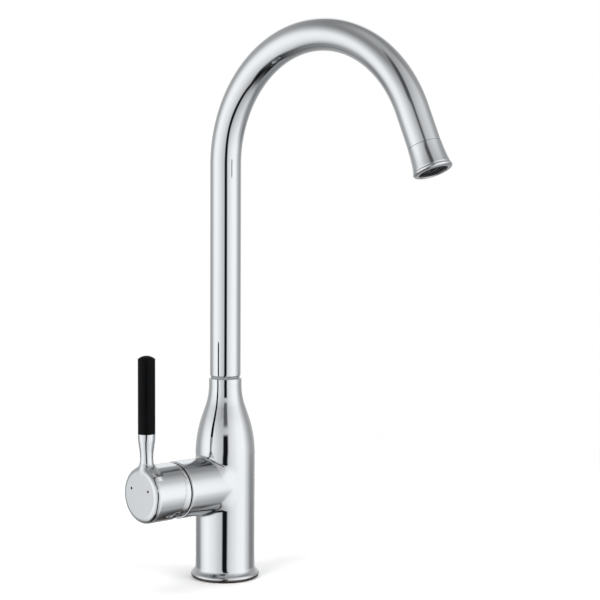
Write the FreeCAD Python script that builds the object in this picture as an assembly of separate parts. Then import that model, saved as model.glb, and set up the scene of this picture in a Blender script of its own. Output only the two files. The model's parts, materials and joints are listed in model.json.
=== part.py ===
import FreeCAD
import Part
import math
import os

# Three way filtered kitchen tap: a bottle shaped body with a side branch, a swan neck
# spout that swivels and carries filtered water in its own inner tube, and a single lever.
# Millimetres. Origin: centre of the foot's underside. +Z up, spout towards -Y,
# branch and lever towards -X. In the branch, "u" is the distance out from the body's axis
# and "up" the height above the branch's axis.

# ---- body -------------------------------------------------------------------
body_r = 24.3             # straight lower body
bead_r = 2.6              # section radius of the foot's bead
bead_reach = 1.0          # how far outside the body that section is centred
flare_r = 5.0             # hollow between the bead and the body
shoulder_z = 102.0        # where the body starts to draw in
shoulder_r = 98.0         # section radius of the rounded shoulder
shoulder_straight = 9.0   # straight slope between the shoulder and the hollow above it
neck_blend_r = 52.0       # section radius of the hollow under the neck
neck_r = 13.3             # neck under the spout
neck_straight = 5.5       # straight stretch at the top of the neck
seal_inset = 1.7          # rubber ring in the foot's underside: from the body's radius in
seal_width = 3.2
seal_depth = 2.2
recess_rim = 1.5          # rim between that ring and the recess where the hoses enter
recess_depth = 6.0

# ---- branch -----------------------------------------------------------------
branch_drop = 24.0        # from the shoulder down to the branch's axis
branch_inset = 1.25       # how much slimmer the branch is than the body
branch_length = 28.2      # how far the branch stands out of the body
branch_edge_r = 1.0       # rounding of the branch's end
branch_root_r = 3.0       # fillet where the branch meets the body
chamber_wall = 5.35       # wall round the bore that holds the cartridge
chamber_depth = 25.9      # depth of that bore

# ---- waterways ----------------------------------------------------------------
port_margin = 1.1         # from each port out to the fixed disc's edge
inlet_share = 0.22        # radii of the ports, as shares of that disc's radius: hot and cold,
filtered_share = 0.15     # ... filtered
mixed_share = 0.245       # ... and mixed
inlet_angle = 119.0       # hot and cold ports, from straight up, degrees
filtered_out_up = 0.5     # port back to the nipple, near the disc's middle
mixed_bore_reach = 2.4    # how far the mixed water's passage runs on into the socket
inlet_rim = 1.9           # from the tapped inlets out to the recess's wall
inlet_thread_r = 4.5      # M10 x 1 tapped hole
inlet_thread_depth = 14.0
stud_thread_r = 3.4       # M8 tapped hole for the fixing stud
stud_thread_depth = 20.0

# ---- swivel -----------------------------------------------------------------
neck_wall = 2.9           # wall round the socket that the spout turns in
socket_floor_up = 8.0     # that socket's floor, above the branch's axis
nipple_socket_r = 5.2     # small bore in that floor for the filtered water nipple
nipple_socket_depth = 5.0
nipple_gap = 0.1          # the nipple's radial clearance
nipple_end_gap = 0.4
nipple_seal_r = 0.6       # section radius of the filtered water O-ring
nipple_bore_r = 2.0
running_gap = 0.05        # radial clearance of what turns in a bore
spigot_relief = 0.3       # the spigot's own clearance in the neck
spigot_end_gap = 2.0      # its clearance to the socket's floor
spigot_wall = 3.1
groove_depth = 1.1        # grooves in the spigot
lower_bush_margin = 2.0   # from the spigot's end up to the lower bush
lower_bush_height = 5.0
lower_o_ring_step = 3.2   # from that bush up to the lower O-ring
snap_ring_step = 3.8      # from that O-ring up to the snap ring
snap_ring_height = 1.6
snap_ring_slit = 3.0
snap_reach = 0.8          # how far the snap ring reaches into the body
snap_end_play = 0.3
upper_bush_drop = 10.6    # from the neck's top down to the upper bush's foot
upper_bush_height = 8.0
upper_o_ring_step = 4.0   # from that bush down to the upper O-ring
washer_inset = 1.6        # grey ring in the groove under the spout
washer_height = 2.1
washer_gap = 0.1          # between that ring and the spout tube
insert_ring_height = 8.0  # spider that carries the nipple and the inner tube
insert_ring_wall = 1.0
insert_web = 1.5
insert_webs = 3

# ---- spout ------------------------------------------------------------------
spout_rest_turn = 5.5     # how far the spout stands turned from -Y, degrees
tube_r = 12.5
tube_wall = 1.0
riser_length = 171.7      # straight tube before the bend
bend_r = 99.8
bend_angle = 156.3
outlet_straight = 28.5    # straight tube after the bend
tube_socket = 12.0        # how far the spigot reaches up into the tube
inner_tube_r = 4.0        # filtered water tube inside the spout
inner_tube_bore_r = 3.0
inner_tube_up = 15.5      # from the spigot's lower end up to the inner tube
inner_tube_step = 1.5     # shoulder of the nipple under the inner tube
barb_length = 9.0

# ---- nozzle (w is the distance past the end of the bend) ----------------------
nozzle_seam = 0.25        # fine gap between tube and nozzle
nozzle_step = 0.2         # the nozzle's top is this much thicker than the tube
nozzle_edge = 0.2         # small bevel of that top
nozzle_flare = 1.6        # how much wider the nozzle gets down to its lip
nozzle_hollow = 0.35      # how hollow that flare is
nozzle_lip_reach = 0.7    # how far the lip stands out beyond the flare
nozzle_lip_height = 3.6
nozzle_lip_peak = 0.55    # where the lip is widest, as a share of its height
nozzle_lip_width = 4.0    # from the lip's widest ring in to the mouth
nozzle_lip_flat = 1.6     # width of the lip's end face
nozzle_mouth_edge = 0.3
nozzle_length = 21.0
nozzle_thread_length = 9.0
nozzle_thread_wall = 1.9
nozzle_thread_gap = 0.3
washer_seat_step = 4.5    # from the tube's end to the step that the washer seats on
aerator_washer_height = 1.5
aerator_wall = 1.4
aerator_setback = 1.0     # how far the aerator stands inside the mouth
aerator_edge = 0.5
aerator_ledge = 0.8       # small rings that hold the mesh and the straightener
mesh_thickness = 0.8
mesh_setback = 1.0
mesh_pitch = 1.9
mesh_hole = 1.2
straightener_drop = 2.0   # from the washer down to the flow straightener
straightener_height = 3.0
straightener_holes = 12
straightener_hole_r = 1.1
outlet_tip_r = 3.1        # filtered water outlet in the middle of the mesh
outlet_tip_reach = 0.3    # how far it stands out of the mesh
outlet_collar_r = 4.5
outlet_collar_height = 1.0
outlet_plug_length = 7.0

# ---- cartridge ----------------------------------------------------------------
cartridge_gap = 0.3       # radial clearance of the cartridge in its bore
cartridge_base_height = 5.0
seal_ring_width = 1.0
seal_ring_margin = 0.3
seal_ring_depth = 1.4
disc_height = 3.0
fixed_disc_gap = 0.2      # the fixed disc's clearance in the housing
moving_disc_inset = 2.8   # how much smaller the moving disc is
mixing_pocket_share = 0.6   # the pocket's radius as a share of that disc's
mixing_pocket_depth = 1.5
carrier_height = 4.8
carrier_flat_inset = 2.9  # flats on the carrier's two sides
peg_r = 1.2
peg_height = 1.2
peg_inset = 3.0
pocket_floor = 0.7        # carrier's thickness under the spindle's ball
housing_wall = 2.6
housing_top_thickness = 3.0
housing_end_play = 0.1
housing_neck_wall = 1.32
housing_neck_height = 3.2
rotor_gap = 0.3           # rotor's clearance to the carrier and the housing
rotor_flange_height = 2.5
rotor_boss_r = 9.0
rotor_boss_height = 8.3
rotor_bearing_gap = 0.08
rotor_slot_wall = 1.0
spindle_side_gap = 0.3    # between the spindle and the slot's sides
lug_gap = 0.2             # between the rotor's lugs and the carrier's flats
lug_width = 1.9
lug_end_inset = 0.4
lug_height = 3.0
pin_r = 1.5
pin_up = 5.1              # the pin's height over the rotor's flange
pin_inset = 0.4
pin_gap = 0.06
nut_gap = 0.1
nut_neck_gap = 0.2
nut_height = 8.0
nut_socket_wall = 4.1
nut_socket_depth = 6.5

# ---- lever (lengths along the branch are counted from the pivot, outwards) -------
lever_travel = 25.0       # how far the lever tilts outwards, degrees
spindle_ball_r = 2.8
ball_pocket_gap = 0.2
spindle_neck_r = 2.2
spindle_half = 4.0        # half width of the spindle's square
spindle_square_drop = 4.3   # the square starts this far below the pivot
spindle_neck_overlap = 1.0
hub_reach = 37.7          # hub's face
hub_inset = 0.3           # how much slimmer the hub is than the branch
hub_rim_r = 5.0
hub_top_reach = 6.2       # the hub's rear edge is slanted: top ...
hub_bottom_reach = 11.7   # ... and bottom
hub_wall = 1.4
hub_cavity_margin = 2.0   # how far the hub's hollow runs on behind that edge
hub_cavity_gap = 0.5      # between the cover ring's dome and the hub
hub_boss_r = 7.5
hub_boss_reach = 9.7
hub_boss_overlap = 1.0
spindle_end_drop = 8.5    # from the hub's face in to the spindle's end
socket_gap = 0.05         # square socket round the spindle
socket_end_gap = 0.5
cover_inset = 1.0         # cover ring's dome, about the pivot: smaller than the branch
cover_foot_inset = 1.7
cover_foot_height = 0.7
cover_end_inset = 4.1
cover_lip_width = 1.8
cover_lip_edge = 0.4
cover_wall = 1.7
cover_nut_gap = 0.5
screw_margin = 0.8        # from the hub's hollow out to the grub screw
screw_r = 2.4
screw_length = 6.0
screw_socket_r = 1.2
screw_socket_depth = 2.5
stem_inset = 7.0          # from the hub's face in to the stem's centre line
stem_top_r = 6.85
stem_neck_r = 5.2
stem_flare = 13.0         # half width of the stem where it runs into the hub
stem_flare_depth = 6.9
stem_foot_inset = 4.2     # from the hub's top down to that place
stem_neck_up = 29.8
grip_up = 48.3            # lower end of the grip
grip_length = 62.2
grip_dome = 2.3
grip_edge_r = 0.6
core_r = 3.5              # rod inside the grip
core_end_gap = 8.0
core_overlap = 1.0
mark_r = 1.1              # cold and hot marks
mark_up = 4.6
mark_side = 10.6
mark_depth = 0.6

# ---- body and branch: sizes that follow from the ones above -----------------------
bead_ring_r = body_r + bead_reach
flare_z = bead_r + math.sqrt((flare_r + bead_r) ** 2 - (flare_r - bead_reach) ** 2)
seal_outer_r = body_r - seal_inset
seal_inner_r = seal_outer_r - seal_width
recess_r = seal_inner_r - recess_rim
branch_z = shoulder_z - branch_drop
branch_r = body_r - branch_inset
branch_end_u = body_r + branch_length
chamber_r = branch_r - chamber_wall
seat_u = branch_end_u - chamber_depth


def shoulder_slope():
    """The angle at which shoulder, slope and hollow together reach the neck's radius."""
    arcs = shoulder_r + neck_blend_r
    rest = body_r - neck_r - arcs
    return math.atan2(arcs, shoulder_straight) + math.asin(rest / math.hypot(arcs, shoulder_straight))


slope_angle = shoulder_slope()
neck_start_z = (shoulder_z + (shoulder_r + neck_blend_r) * math.sin(slope_angle)
                + shoulder_straight * math.cos(slope_angle))
neck_top_z = neck_start_z + neck_straight

# ---- swivel and spout ------------------------------------------------------------
socket_r = neck_r - neck_wall
socket_floor_z = branch_z + socket_floor_up
nipple_r = nipple_socket_r - nipple_gap
nipple_seal_z = socket_floor_z - nipple_socket_depth / 2
spigot_r = socket_r - spigot_relief
spigot_bore_r = spigot_r - spigot_wall
spigot_bottom_z = socket_floor_z + spigot_end_gap
turning_r = socket_r - running_gap
groove_r = spigot_r - groove_depth
o_ring_r = (turning_r - groove_r) / 2
lower_bush_z = spigot_bottom_z + lower_bush_margin
lower_o_ring_z = lower_bush_z + lower_bush_height + lower_o_ring_step
snap_groove_z = lower_o_ring_z + snap_ring_step
upper_bush_z = neck_top_z - upper_bush_drop
upper_o_ring_z = upper_bush_z - upper_o_ring_step
washer_r = neck_r - washer_inset
tube_bore_r = tube_r - tube_wall
tube_bottom_z = neck_top_z + washer_height + washer_gap
bend_z = tube_bottom_z + riser_length
inner_tube_bottom_z = spigot_bottom_z + inner_tube_up

# ---- nozzle ------------------------------------------------------------------------
nozzle_top_r = tube_r + nozzle_step
nozzle_waist_r = nozzle_top_r + nozzle_flare
nozzle_lip_r = nozzle_waist_r + nozzle_lip_reach
nozzle_mouth_r = nozzle_lip_r - nozzle_lip_width
nozzle_throat_r = tube_bore_r - nozzle_thread_wall
nozzle_top_w = outlet_straight + nozzle_seam
nozzle_end_w = nozzle_top_w + nozzle_length
washer_seat_w = outlet_straight + washer_seat_step
aerator_top_w = washer_seat_w + aerator_washer_height
aerator_end_w = nozzle_end_w - aerator_setback
aerator_bore_r = nozzle_mouth_r - aerator_wall
ledge_r = aerator_bore_r - aerator_ledge
mesh_end_w = aerator_end_w - mesh_setback
mesh_top_w = mesh_end_w - mesh_thickness
straightener_w = aerator_top_w + straightener_drop
straightener_end_w = straightener_w + straightener_height

# ---- cartridge -----------------------------------------------------------------------
cartridge_r = chamber_r - cartridge_gap
housing_bore_r = cartridge_r - housing_wall
fixed_disc_r = housing_bore_r - fixed_disc_gap
moving_disc_r = fixed_disc_r - moving_disc_inset
carrier_flat = moving_disc_r - carrier_flat_inset
fixed_disc_u = seat_u + cartridge_base_height
moving_disc_u = fixed_disc_u + disc_height
carrier_u = moving_disc_u + disc_height
carrier_end_u = carrier_u + carrier_height
rotor_u = carrier_end_u + rotor_gap
rotor_flange_r = housing_bore_r - rotor_gap
rotor_flange_end_u = rotor_u + rotor_flange_height
rotor_end_u = rotor_flange_end_u + rotor_boss_height
rotor_slot_half_width = spindle_half + spindle_side_gap
rotor_slot_half_length = math.sqrt(rotor_boss_r ** 2 - rotor_slot_half_width ** 2) - rotor_slot_wall
lug_low = carrier_flat + lug_gap
lug_high = lug_low + lug_width
lug_half_length = math.sqrt(rotor_flange_r ** 2 - lug_high ** 2) - lug_end_inset
bearing_r = rotor_boss_r + rotor_bearing_gap
housing_neck_r = bearing_r + housing_neck_wall
housing_ceiling_u = rotor_flange_end_u + housing_end_play
housing_top_u = housing_ceiling_u + housing_top_thickness
housing_end_u = housing_top_u + housing_neck_height
nut_r = chamber_r - nut_gap
nut_end_u = housing_top_u + nut_height
pivot_u = rotor_flange_end_u + pin_up
pin_half_length = rotor_boss_r - pin_inset
ball_u = carrier_u + pocket_floor + ball_pocket_gap + spindle_ball_r
disc_travel = (pivot_u - ball_u) * math.sin(math.radians(lever_travel))
disc_rest_up = -disc_travel / 2

# ---- waterways -------------------------------------------------------------------------
inlet_bore_r = fixed_disc_r * inlet_share
filtered_bore_r = fixed_disc_r * filtered_share
mixed_bore_r = fixed_disc_r * mixed_share


def port_at(degrees, radius):
    """(up, side) of a port that keeps its margin to the disc's edge."""
    reach = fixed_disc_r - port_margin - radius
    angle = math.radians(degrees)
    return (reach * math.cos(angle), reach * math.sin(angle))


port_hot = port_at(-inlet_angle, inlet_bore_r)
port_cold = port_at(inlet_angle, inlet_bore_r)
port_filtered_in = port_at(180, filtered_bore_r)
port_mixed_out = port_at(0, mixed_bore_r)
port_filtered_out = (filtered_out_up, 0.0)
inlet_circle_r = recess_r - inlet_rim - inlet_thread_r
inlet_y = port_cold[1]
inlet_x = -math.sqrt(inlet_circle_r ** 2 - inlet_y ** 2)

# ---- lever ---------------------------------------------------------------------------
cover_sphere_r = branch_r - cover_inset
cover_foot_r = cover_sphere_r - cover_foot_inset
cover_end_r = cover_sphere_r - cover_end_inset
cover_lip_r = cover_end_r - cover_lip_width
hub_r = branch_r - hub_inset
hub_cavity_r = hub_r - hub_wall
hub_cavity_sphere_r = cover_sphere_r + hub_cavity_gap
hub_cavity_end_u = pivot_u + hub_cavity_sphere_r
hub_face_u = pivot_u + hub_reach
hub_top_u = pivot_u + hub_top_reach
hub_bottom_u = pivot_u + hub_bottom_reach
hub_boss_u = pivot_u + hub_boss_reach
spindle_square_u = pivot_u - spindle_square_drop
spindle_end_u = hub_face_u - spindle_end_drop
screw_u = hub_cavity_end_u + screw_margin + screw_r
stem_u = hub_face_u - stem_inset
stem_foot_z = branch_z + hub_r - stem_foot_inset
stem_neck_z = branch_z + stem_neck_up
grip_bottom_z = branch_z + grip_up
grip_top_z = grip_bottom_z + grip_length


def point(x, y, z):
    return FreeCAD.Vector(x, y, z)


def on_circle(centre, radius, degrees):
    """A point of the (radius, height) half plane, on a circle about centre."""
    angle = math.radians(degrees)
    return (centre[0] + radius * math.cos(angle), centre[1] + radius * math.sin(angle))


def through(middle, end):
    """A step of an outline: an arc through middle to end."""
    return (middle, end)


def outline(start, *steps):
    """A closed face in the XZ half plane. A step is an end point or an arc."""
    edges = []
    here = point(start[0], 0, start[1])
    first = here
    for step in steps:
        if isinstance(step[0], tuple):
            middle = point(step[0][0], 0, step[0][1])
            there = point(step[1][0], 0, step[1][1])
            edges.append(Part.Arc(here, middle, there).toShape())
        else:
            there = point(step[0], 0, step[1])
            edges.append(Part.LineSegment(here, there).toShape())
        here = there
    edges.append(Part.LineSegment(here, first).toShape())
    return Part.Face(Part.Wire(edges))


def turned(start, *steps):
    """The outline turned about the Z axis."""
    return outline(start, *steps).revolve(point(0, 0, 0), point(0, 0, 1), 360)


def rod(radius, low, high, x=0.0, y=0.0):
    return Part.makeCylinder(radius, high - low, point(x, y, low))


def ring(inner, outer, low, high, x=0.0, y=0.0):
    return rod(outer, low, high, x, y).cut(rod(inner, low, high, x, y))


def bar(x_range, y_range, z_range):
    size = [b - a for a, b in (x_range, y_range, z_range)]
    return Part.makeBox(size[0], size[1], size[2], point(x_range[0], y_range[0], z_range[0]))


def o_ring(centre_r, section_r, z):
    return Part.makeTorus(centre_r, section_r, point(0, 0, z))


def to_branch(shape):
    """From a model with u along +Z and 'up' along +X to its place in the branch."""
    shape.rotate(point(0, 0, 0), point(0, 1, 0), -90)
    shape.translate(point(0, 0, branch_z))
    return shape


def to_spout(shape):
    """From a spout that points to -Y to the way it stands at rest."""
    shape.rotate(point(0, 0, 0), point(0, 0, 1), spout_rest_turn)
    return shape


def to_nozzle(shape):
    """From a model with w along +Z to its place at the end of the bend."""
    turn = math.radians(bend_angle)
    shape.rotate(point(0, 0, 0), point(1, 0, 0), bend_angle)
    shape.translate(point(0, -bend_r * (1 - math.cos(turn)), bend_z + bend_r * math.sin(turn)))
    return to_spout(shape)


def save(name, shape):
    shape.exportStep(f"parts/{name}.step")


# ---- body -----------------------------------------------------------------------
def bottle():
    """The body's outside, turned about its axis."""
    slope = math.degrees(slope_angle)
    bead = (bead_ring_r, bead_r)
    hollow = (body_r + flare_r, flare_z)
    meet_angle = math.degrees(math.atan2(hollow[1] - bead[1], hollow[0] - bead[0]))
    meet = on_circle(bead, bead_r, meet_angle)
    hollow_middle = on_circle(hollow, flare_r, (meet_angle + 360) / 2)
    shoulder = (body_r - shoulder_r, shoulder_z)
    neck_hollow = (neck_r + neck_blend_r, neck_start_z)
    return turned(
        (0, 0), (bead_ring_r, 0),
        through(on_circle(bead, bead_r, (meet_angle - 90) / 2), meet),
        through(hollow_middle, (body_r, flare_z)),
        (body_r, shoulder_z),
        through(on_circle(shoulder, shoulder_r, slope / 2), on_circle(shoulder, shoulder_r, slope)),
        on_circle(neck_hollow, neck_blend_r, 180 + slope),
        through(on_circle(neck_hollow, neck_blend_r, 180 + slope / 2), (neck_r, neck_start_z)),
        (neck_r, neck_top_z), (0, neck_top_z))


def branch():
    """The branch's outside, with its rounded end."""
    centre = (branch_r - branch_edge_r, branch_end_u - branch_edge_r)
    return to_branch(turned(
        (0, 0), (branch_r, 0), (branch_r, centre[1]),
        through(on_circle(centre, branch_edge_r, 45), (centre[0], branch_end_u)),
        (0, branch_end_u)))


def root_edges(shape):
    """The two edges where the branch runs into the body."""
    slack = 2.0
    found = []
    for edge in shape.Edges:
        box = edge.BoundBox
        low = box.ZMin > branch_z - branch_r - slack
        high = box.ZMax < branch_z + branch_r + slack
        if low and high and box.XMin > -body_r - slack and box.XMax < -slack:
            found.append(edge)
    return found


def passage(port, radius, end_x):
    """A drilling from the cartridge seat towards the body's axis."""
    up, side = port
    return rod(radius, -end_x, seat_u, up, side)


def drillings():
    """Passages between the inlets, the cartridge seat and the spout's socket."""
    level = [
        passage(port_hot, inlet_bore_r, inlet_x),
        passage(port_cold, inlet_bore_r, inlet_x),
        passage(port_filtered_in, filtered_bore_r, inlet_circle_r),
        passage(port_mixed_out, mixed_bore_r, mixed_bore_reach - socket_r),
        passage(port_filtered_out, filtered_bore_r, 0.0),
    ]
    upright = [
        rod(inlet_bore_r, recess_depth, branch_z + port_hot[0], inlet_x, -inlet_y),
        rod(inlet_bore_r, recess_depth, branch_z + port_cold[0], inlet_x, inlet_y),
        rod(filtered_bore_r, recess_depth, branch_z + port_filtered_in[0], inlet_circle_r, 0),
        rod(filtered_bore_r, branch_z + port_filtered_out[0], socket_floor_z, 0, 0),
    ]
    return [to_branch(hole) for hole in level] + upright


def tapped_holes():
    """Hot, cold and filtered inlets and the stud hole, in the underside's recess."""
    top = recess_depth + inlet_thread_depth
    return [
        rod(inlet_thread_r, 0, top, inlet_x, -inlet_y),
        rod(inlet_thread_r, 0, top, inlet_x, inlet_y),
        rod(inlet_thread_r, 0, top, inlet_circle_r, 0),
        rod(stud_thread_r, 0, recess_depth + stud_thread_depth),
    ]


def make_body_casting():
    solid = bottle().fuse(branch()).removeSplitter()
    solid = solid.makeFillet(branch_root_r, root_edges(solid))
    cuts = [
        rod(recess_r, 0, recess_depth),
        ring(seal_inner_r, seal_outer_r, 0, seal_depth),
        rod(socket_r, socket_floor_z, neck_top_z),
        rod(nipple_socket_r, socket_floor_z - nipple_socket_depth, socket_floor_z),
        rod(socket_r + snap_reach + running_gap, snap_groove_z - snap_end_play,
            snap_groove_z + snap_ring_height + snap_end_play),
        to_branch(rod(chamber_r, seat_u, branch_end_u)),
    ]
    save("body_casting", solid.cut(cuts + drillings() + tapped_holes()))


def make_base_seal():
    save("base_seal", ring(seal_inner_r, seal_outer_r, 0, seal_depth))


# ---- swivel -----------------------------------------------------------------------
def make_swivel_washer():
    save("swivel_washer", ring(socket_r, washer_r, neck_top_z, neck_top_z + washer_height))


def make_spout_spigot():
    solid = ring(spigot_bore_r, spigot_r, spigot_bottom_z, tube_bottom_z)
    grooves = [
        ring(groove_r, spigot_r, lower_bush_z, lower_bush_z + lower_bush_height),
        ring(groove_r, spigot_r, upper_bush_z, upper_bush_z + upper_bush_height),
        ring(groove_r, spigot_r, lower_o_ring_z - o_ring_r, lower_o_ring_z + o_ring_r),
        ring(groove_r, spigot_r, upper_o_ring_z - o_ring_r, upper_o_ring_z + o_ring_r),
        ring(groove_r, spigot_r, snap_groove_z, snap_groove_z + snap_ring_height),
    ]
    collar = ring(spigot_bore_r, tube_bore_r, tube_bottom_z, tube_bottom_z + tube_socket)
    save("spout_spigot", to_spout(solid.cut(grooves).fuse(collar).removeSplitter()))


def make_bushes():
    upper = ring(groove_r, turning_r, upper_bush_z, upper_bush_z + upper_bush_height)
    lower = ring(groove_r, turning_r, lower_bush_z, lower_bush_z + lower_bush_height)
    save("upper_spout_bush", to_spout(upper))
    save("lower_spout_bush", to_spout(lower))


def make_o_rings():
    centre_r = turning_r - o_ring_r
    save("upper_spout_o_ring", to_spout(o_ring(centre_r, o_ring_r, upper_o_ring_z)))
    save("lower_spout_o_ring", to_spout(o_ring(centre_r, o_ring_r, lower_o_ring_z)))


def make_snap_ring():
    """A split ring: it sits in the spigot's groove and reaches into the body's."""
    outer = socket_r + snap_reach
    whole = ring(groove_r, outer, snap_groove_z, snap_groove_z + snap_ring_height)
    slit = bar((-snap_ring_slit / 2, snap_ring_slit / 2), (0, outer),
               (snap_groove_z, snap_groove_z + snap_ring_height))
    save("spout_snap_ring", to_spout(whole.cut(slit)))


def make_waterway_insert():
    """Spider in the spigot's bore: nipple below, barb for the inner tube above."""
    low = socket_floor_z - nipple_socket_depth + nipple_end_gap
    ring_high = spigot_bottom_z + insert_ring_height
    hub_top = inner_tube_bottom_z - inner_tube_step
    barb_top = inner_tube_bottom_z + barb_length
    stem = rod(nipple_r, low, spigot_bottom_z).fuse(rod(inner_tube_r, spigot_bottom_z, hub_top))
    barb = rod(inner_tube_bore_r, hub_top, barb_top)
    rim_r = spigot_bore_r - insert_ring_wall
    rim = ring(rim_r, spigot_bore_r, spigot_bottom_z, ring_high)
    solid = stem.fuse([barb, rim])
    for index in range(insert_webs):
        web = bar((nipple_bore_r, rim_r + insert_ring_wall / 2), (-insert_web / 2, insert_web / 2),
                  (spigot_bottom_z, ring_high))
        web.rotate(point(0, 0, 0), point(0, 0, 1), index * 360 / insert_webs)
        solid = solid.fuse(web)
    bore = rod(nipple_bore_r, low, barb_top)
    groove = ring(nipple_socket_r - running_gap - 2 * nipple_seal_r, nipple_r,
                  nipple_seal_z - nipple_seal_r, nipple_seal_z + nipple_seal_r)
    save("waterway_insert", to_spout(solid.removeSplitter().cut([bore, groove])))


def make_filtered_o_ring():
    seal = o_ring(nipple_socket_r - running_gap - nipple_seal_r, nipple_seal_r, nipple_seal_z)
    save("filtered_water_o_ring", to_spout(seal))


# ---- spout ------------------------------------------------------------------------
def bent_pipe(inner, outer, bottom_z, end_w):
    """Straight riser, bend and straight outlet, as one hollow tube."""
    riser = ring(inner, outer, bottom_z, bend_z)
    outer_wire = Part.Wire(Part.makeCircle(outer, point(0, 0, bend_z)))
    inner_wire = Part.Wire(Part.makeCircle(inner, point(0, 0, bend_z)))
    section = Part.Face([outer_wire, inner_wire])
    bend = section.revolve(point(0, -bend_r, bend_z), point(1, 0, 0), bend_angle)
    return to_spout(riser.fuse(bend)).fuse(to_nozzle(ring(inner, outer, 0, end_w))).removeSplitter()


def make_spout_tube():
    save("spout_tube", bent_pipe(tube_bore_r, tube_r, tube_bottom_z, outlet_straight))


def make_filtered_tube():
    save("filtered_water_tube",
         bent_pipe(inner_tube_bore_r, inner_tube_r, inner_tube_bottom_z,
                   straightener_w - outlet_collar_height))


# ---- nozzle -----------------------------------------------------------------------
def make_nozzle():
    lip_top_w = nozzle_end_w - nozzle_lip_height
    flare_middle = ((nozzle_top_r + nozzle_waist_r) / 2 - nozzle_hollow, (nozzle_top_w + lip_top_w) / 2)
    thread_w = outlet_straight - nozzle_thread_length
    lip_middle = (nozzle_lip_r, nozzle_end_w - nozzle_lip_height * nozzle_lip_peak)
    solid = turned(
        (nozzle_throat_r, thread_w), (tube_bore_r, thread_w),
        (tube_bore_r, outlet_straight),
        (tube_bore_r - nozzle_thread_gap, nozzle_top_w), (nozzle_top_r - nozzle_edge, nozzle_top_w),
        (nozzle_top_r, nozzle_top_w + nozzle_edge),
        through(flare_middle, (nozzle_waist_r, lip_top_w)),
        through(lip_middle, (nozzle_mouth_r + nozzle_lip_flat, nozzle_end_w)),
        (nozzle_mouth_r, nozzle_end_w - nozzle_mouth_edge),
        (nozzle_mouth_r, washer_seat_w), (nozzle_throat_r, washer_seat_w))
    save("nozzle", to_nozzle(solid))


def make_aerator_washer():
    washer = ring(nozzle_throat_r, nozzle_mouth_r, washer_seat_w, aerator_top_w)
    save("aerator_washer", to_nozzle(washer))


def make_aerator_housing():
    """A sleeve with a ledge under the straightener and one over the mesh."""
    bore = aerator_bore_r
    ledge_end_w = straightener_end_w + aerator_ledge
    solid = turned(
        (bore, aerator_top_w), (nozzle_mouth_r, aerator_top_w),
        (nozzle_mouth_r, aerator_end_w - aerator_edge), (nozzle_mouth_r - aerator_edge, aerator_end_w),
        (bore, aerator_end_w), (bore, mesh_end_w),
        (ledge_r, mesh_end_w), (ledge_r, mesh_top_w),
        (bore, mesh_top_w), (bore, ledge_end_w),
        (ledge_r, ledge_end_w), (ledge_r, straightener_end_w), (bore, straightener_end_w))
    save("aerator_housing", to_nozzle(solid))


def make_aerator_mesh():
    """A disc with square holes on a grid, round the filtered water outlet."""
    disc = ring(outlet_tip_r, ledge_r, mesh_top_w, mesh_end_w)
    count = int(ledge_r / mesh_pitch)
    half = mesh_hole / 2
    border = half * 1.5
    holes = []
    for row in range(-count, count + 1):
        for column in range(-count, count + 1):
            x = row * mesh_pitch
            y = column * mesh_pitch
            if outlet_tip_r + border < math.hypot(x, y) < ledge_r - border:
                holes.append(bar((x - half, x + half), (y - half, y + half), (mesh_top_w, mesh_end_w)))
    save("aerator_mesh", to_nozzle(disc.cut(holes)))


def make_flow_straightener():
    disc = ring(outlet_tip_r, aerator_bore_r, straightener_w, straightener_end_w)
    circle_r = (outlet_tip_r + aerator_bore_r) / 2
    holes = []
    for index in range(straightener_holes):
        angle = 2 * math.pi * index / straightener_holes
        holes.append(rod(straightener_hole_r, straightener_w, straightener_end_w,
                         circle_r * math.cos(angle), circle_r * math.sin(angle)))
    save("flow_straightener", to_nozzle(disc.cut(holes)))


def make_filtered_outlet():
    """A short tube from the inner tube, through the straightener, to the mesh."""
    collar_w = straightener_w - outlet_collar_height
    plug_w = collar_w - outlet_plug_length
    tip_end_w = mesh_end_w + outlet_tip_reach
    plug = rod(inner_tube_bore_r, plug_w, collar_w)
    collar = rod(outlet_collar_r, collar_w, straightener_w)
    tip = rod(outlet_tip_r, straightener_w, tip_end_w)
    bore = rod(nipple_bore_r, plug_w, tip_end_w)
    save("filtered_water_outlet", to_nozzle(plug.fuse([collar, tip]).removeSplitter().cut(bore)))


# ---- cartridge ----------------------------------------------------------------------
def ports():
    """(port, hole radius) of each waterway through the cartridge."""
    return [
        (port_hot, inlet_bore_r), (port_cold, inlet_bore_r),
        (port_filtered_in, filtered_bore_r), (port_mixed_out, mixed_bore_r),
        (port_filtered_out, filtered_bore_r),
    ]


def port_holes(low, high):
    return [rod(radius, low, high, port[0], port[1]) for port, radius in ports()]


def port_seal_rings():
    rings = []
    for port, radius in ports():
        inner = radius + seal_ring_margin
        rings.append(ring(inner, inner + seal_ring_width, seat_u, seat_u + seal_ring_depth, port[0], port[1]))
    return rings


def make_cartridge_base():
    disc = rod(cartridge_r, seat_u, fixed_disc_u)
    save("cartridge_base", to_branch(disc.cut(port_holes(seat_u, fixed_disc_u) + port_seal_rings())))


def make_port_seals():
    save("port_seals", to_branch(Part.makeCompound(port_seal_rings())))


def make_fixed_disc():
    disc = rod(fixed_disc_r, fixed_disc_u, moving_disc_u)
    save("fixed_disc", to_branch(disc.cut(port_holes(fixed_disc_u, moving_disc_u))))


def peg_places():
    reach = moving_disc_r - peg_inset
    return [(disc_rest_up - reach, 0.0), (disc_rest_up + reach, 0.0)]


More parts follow.
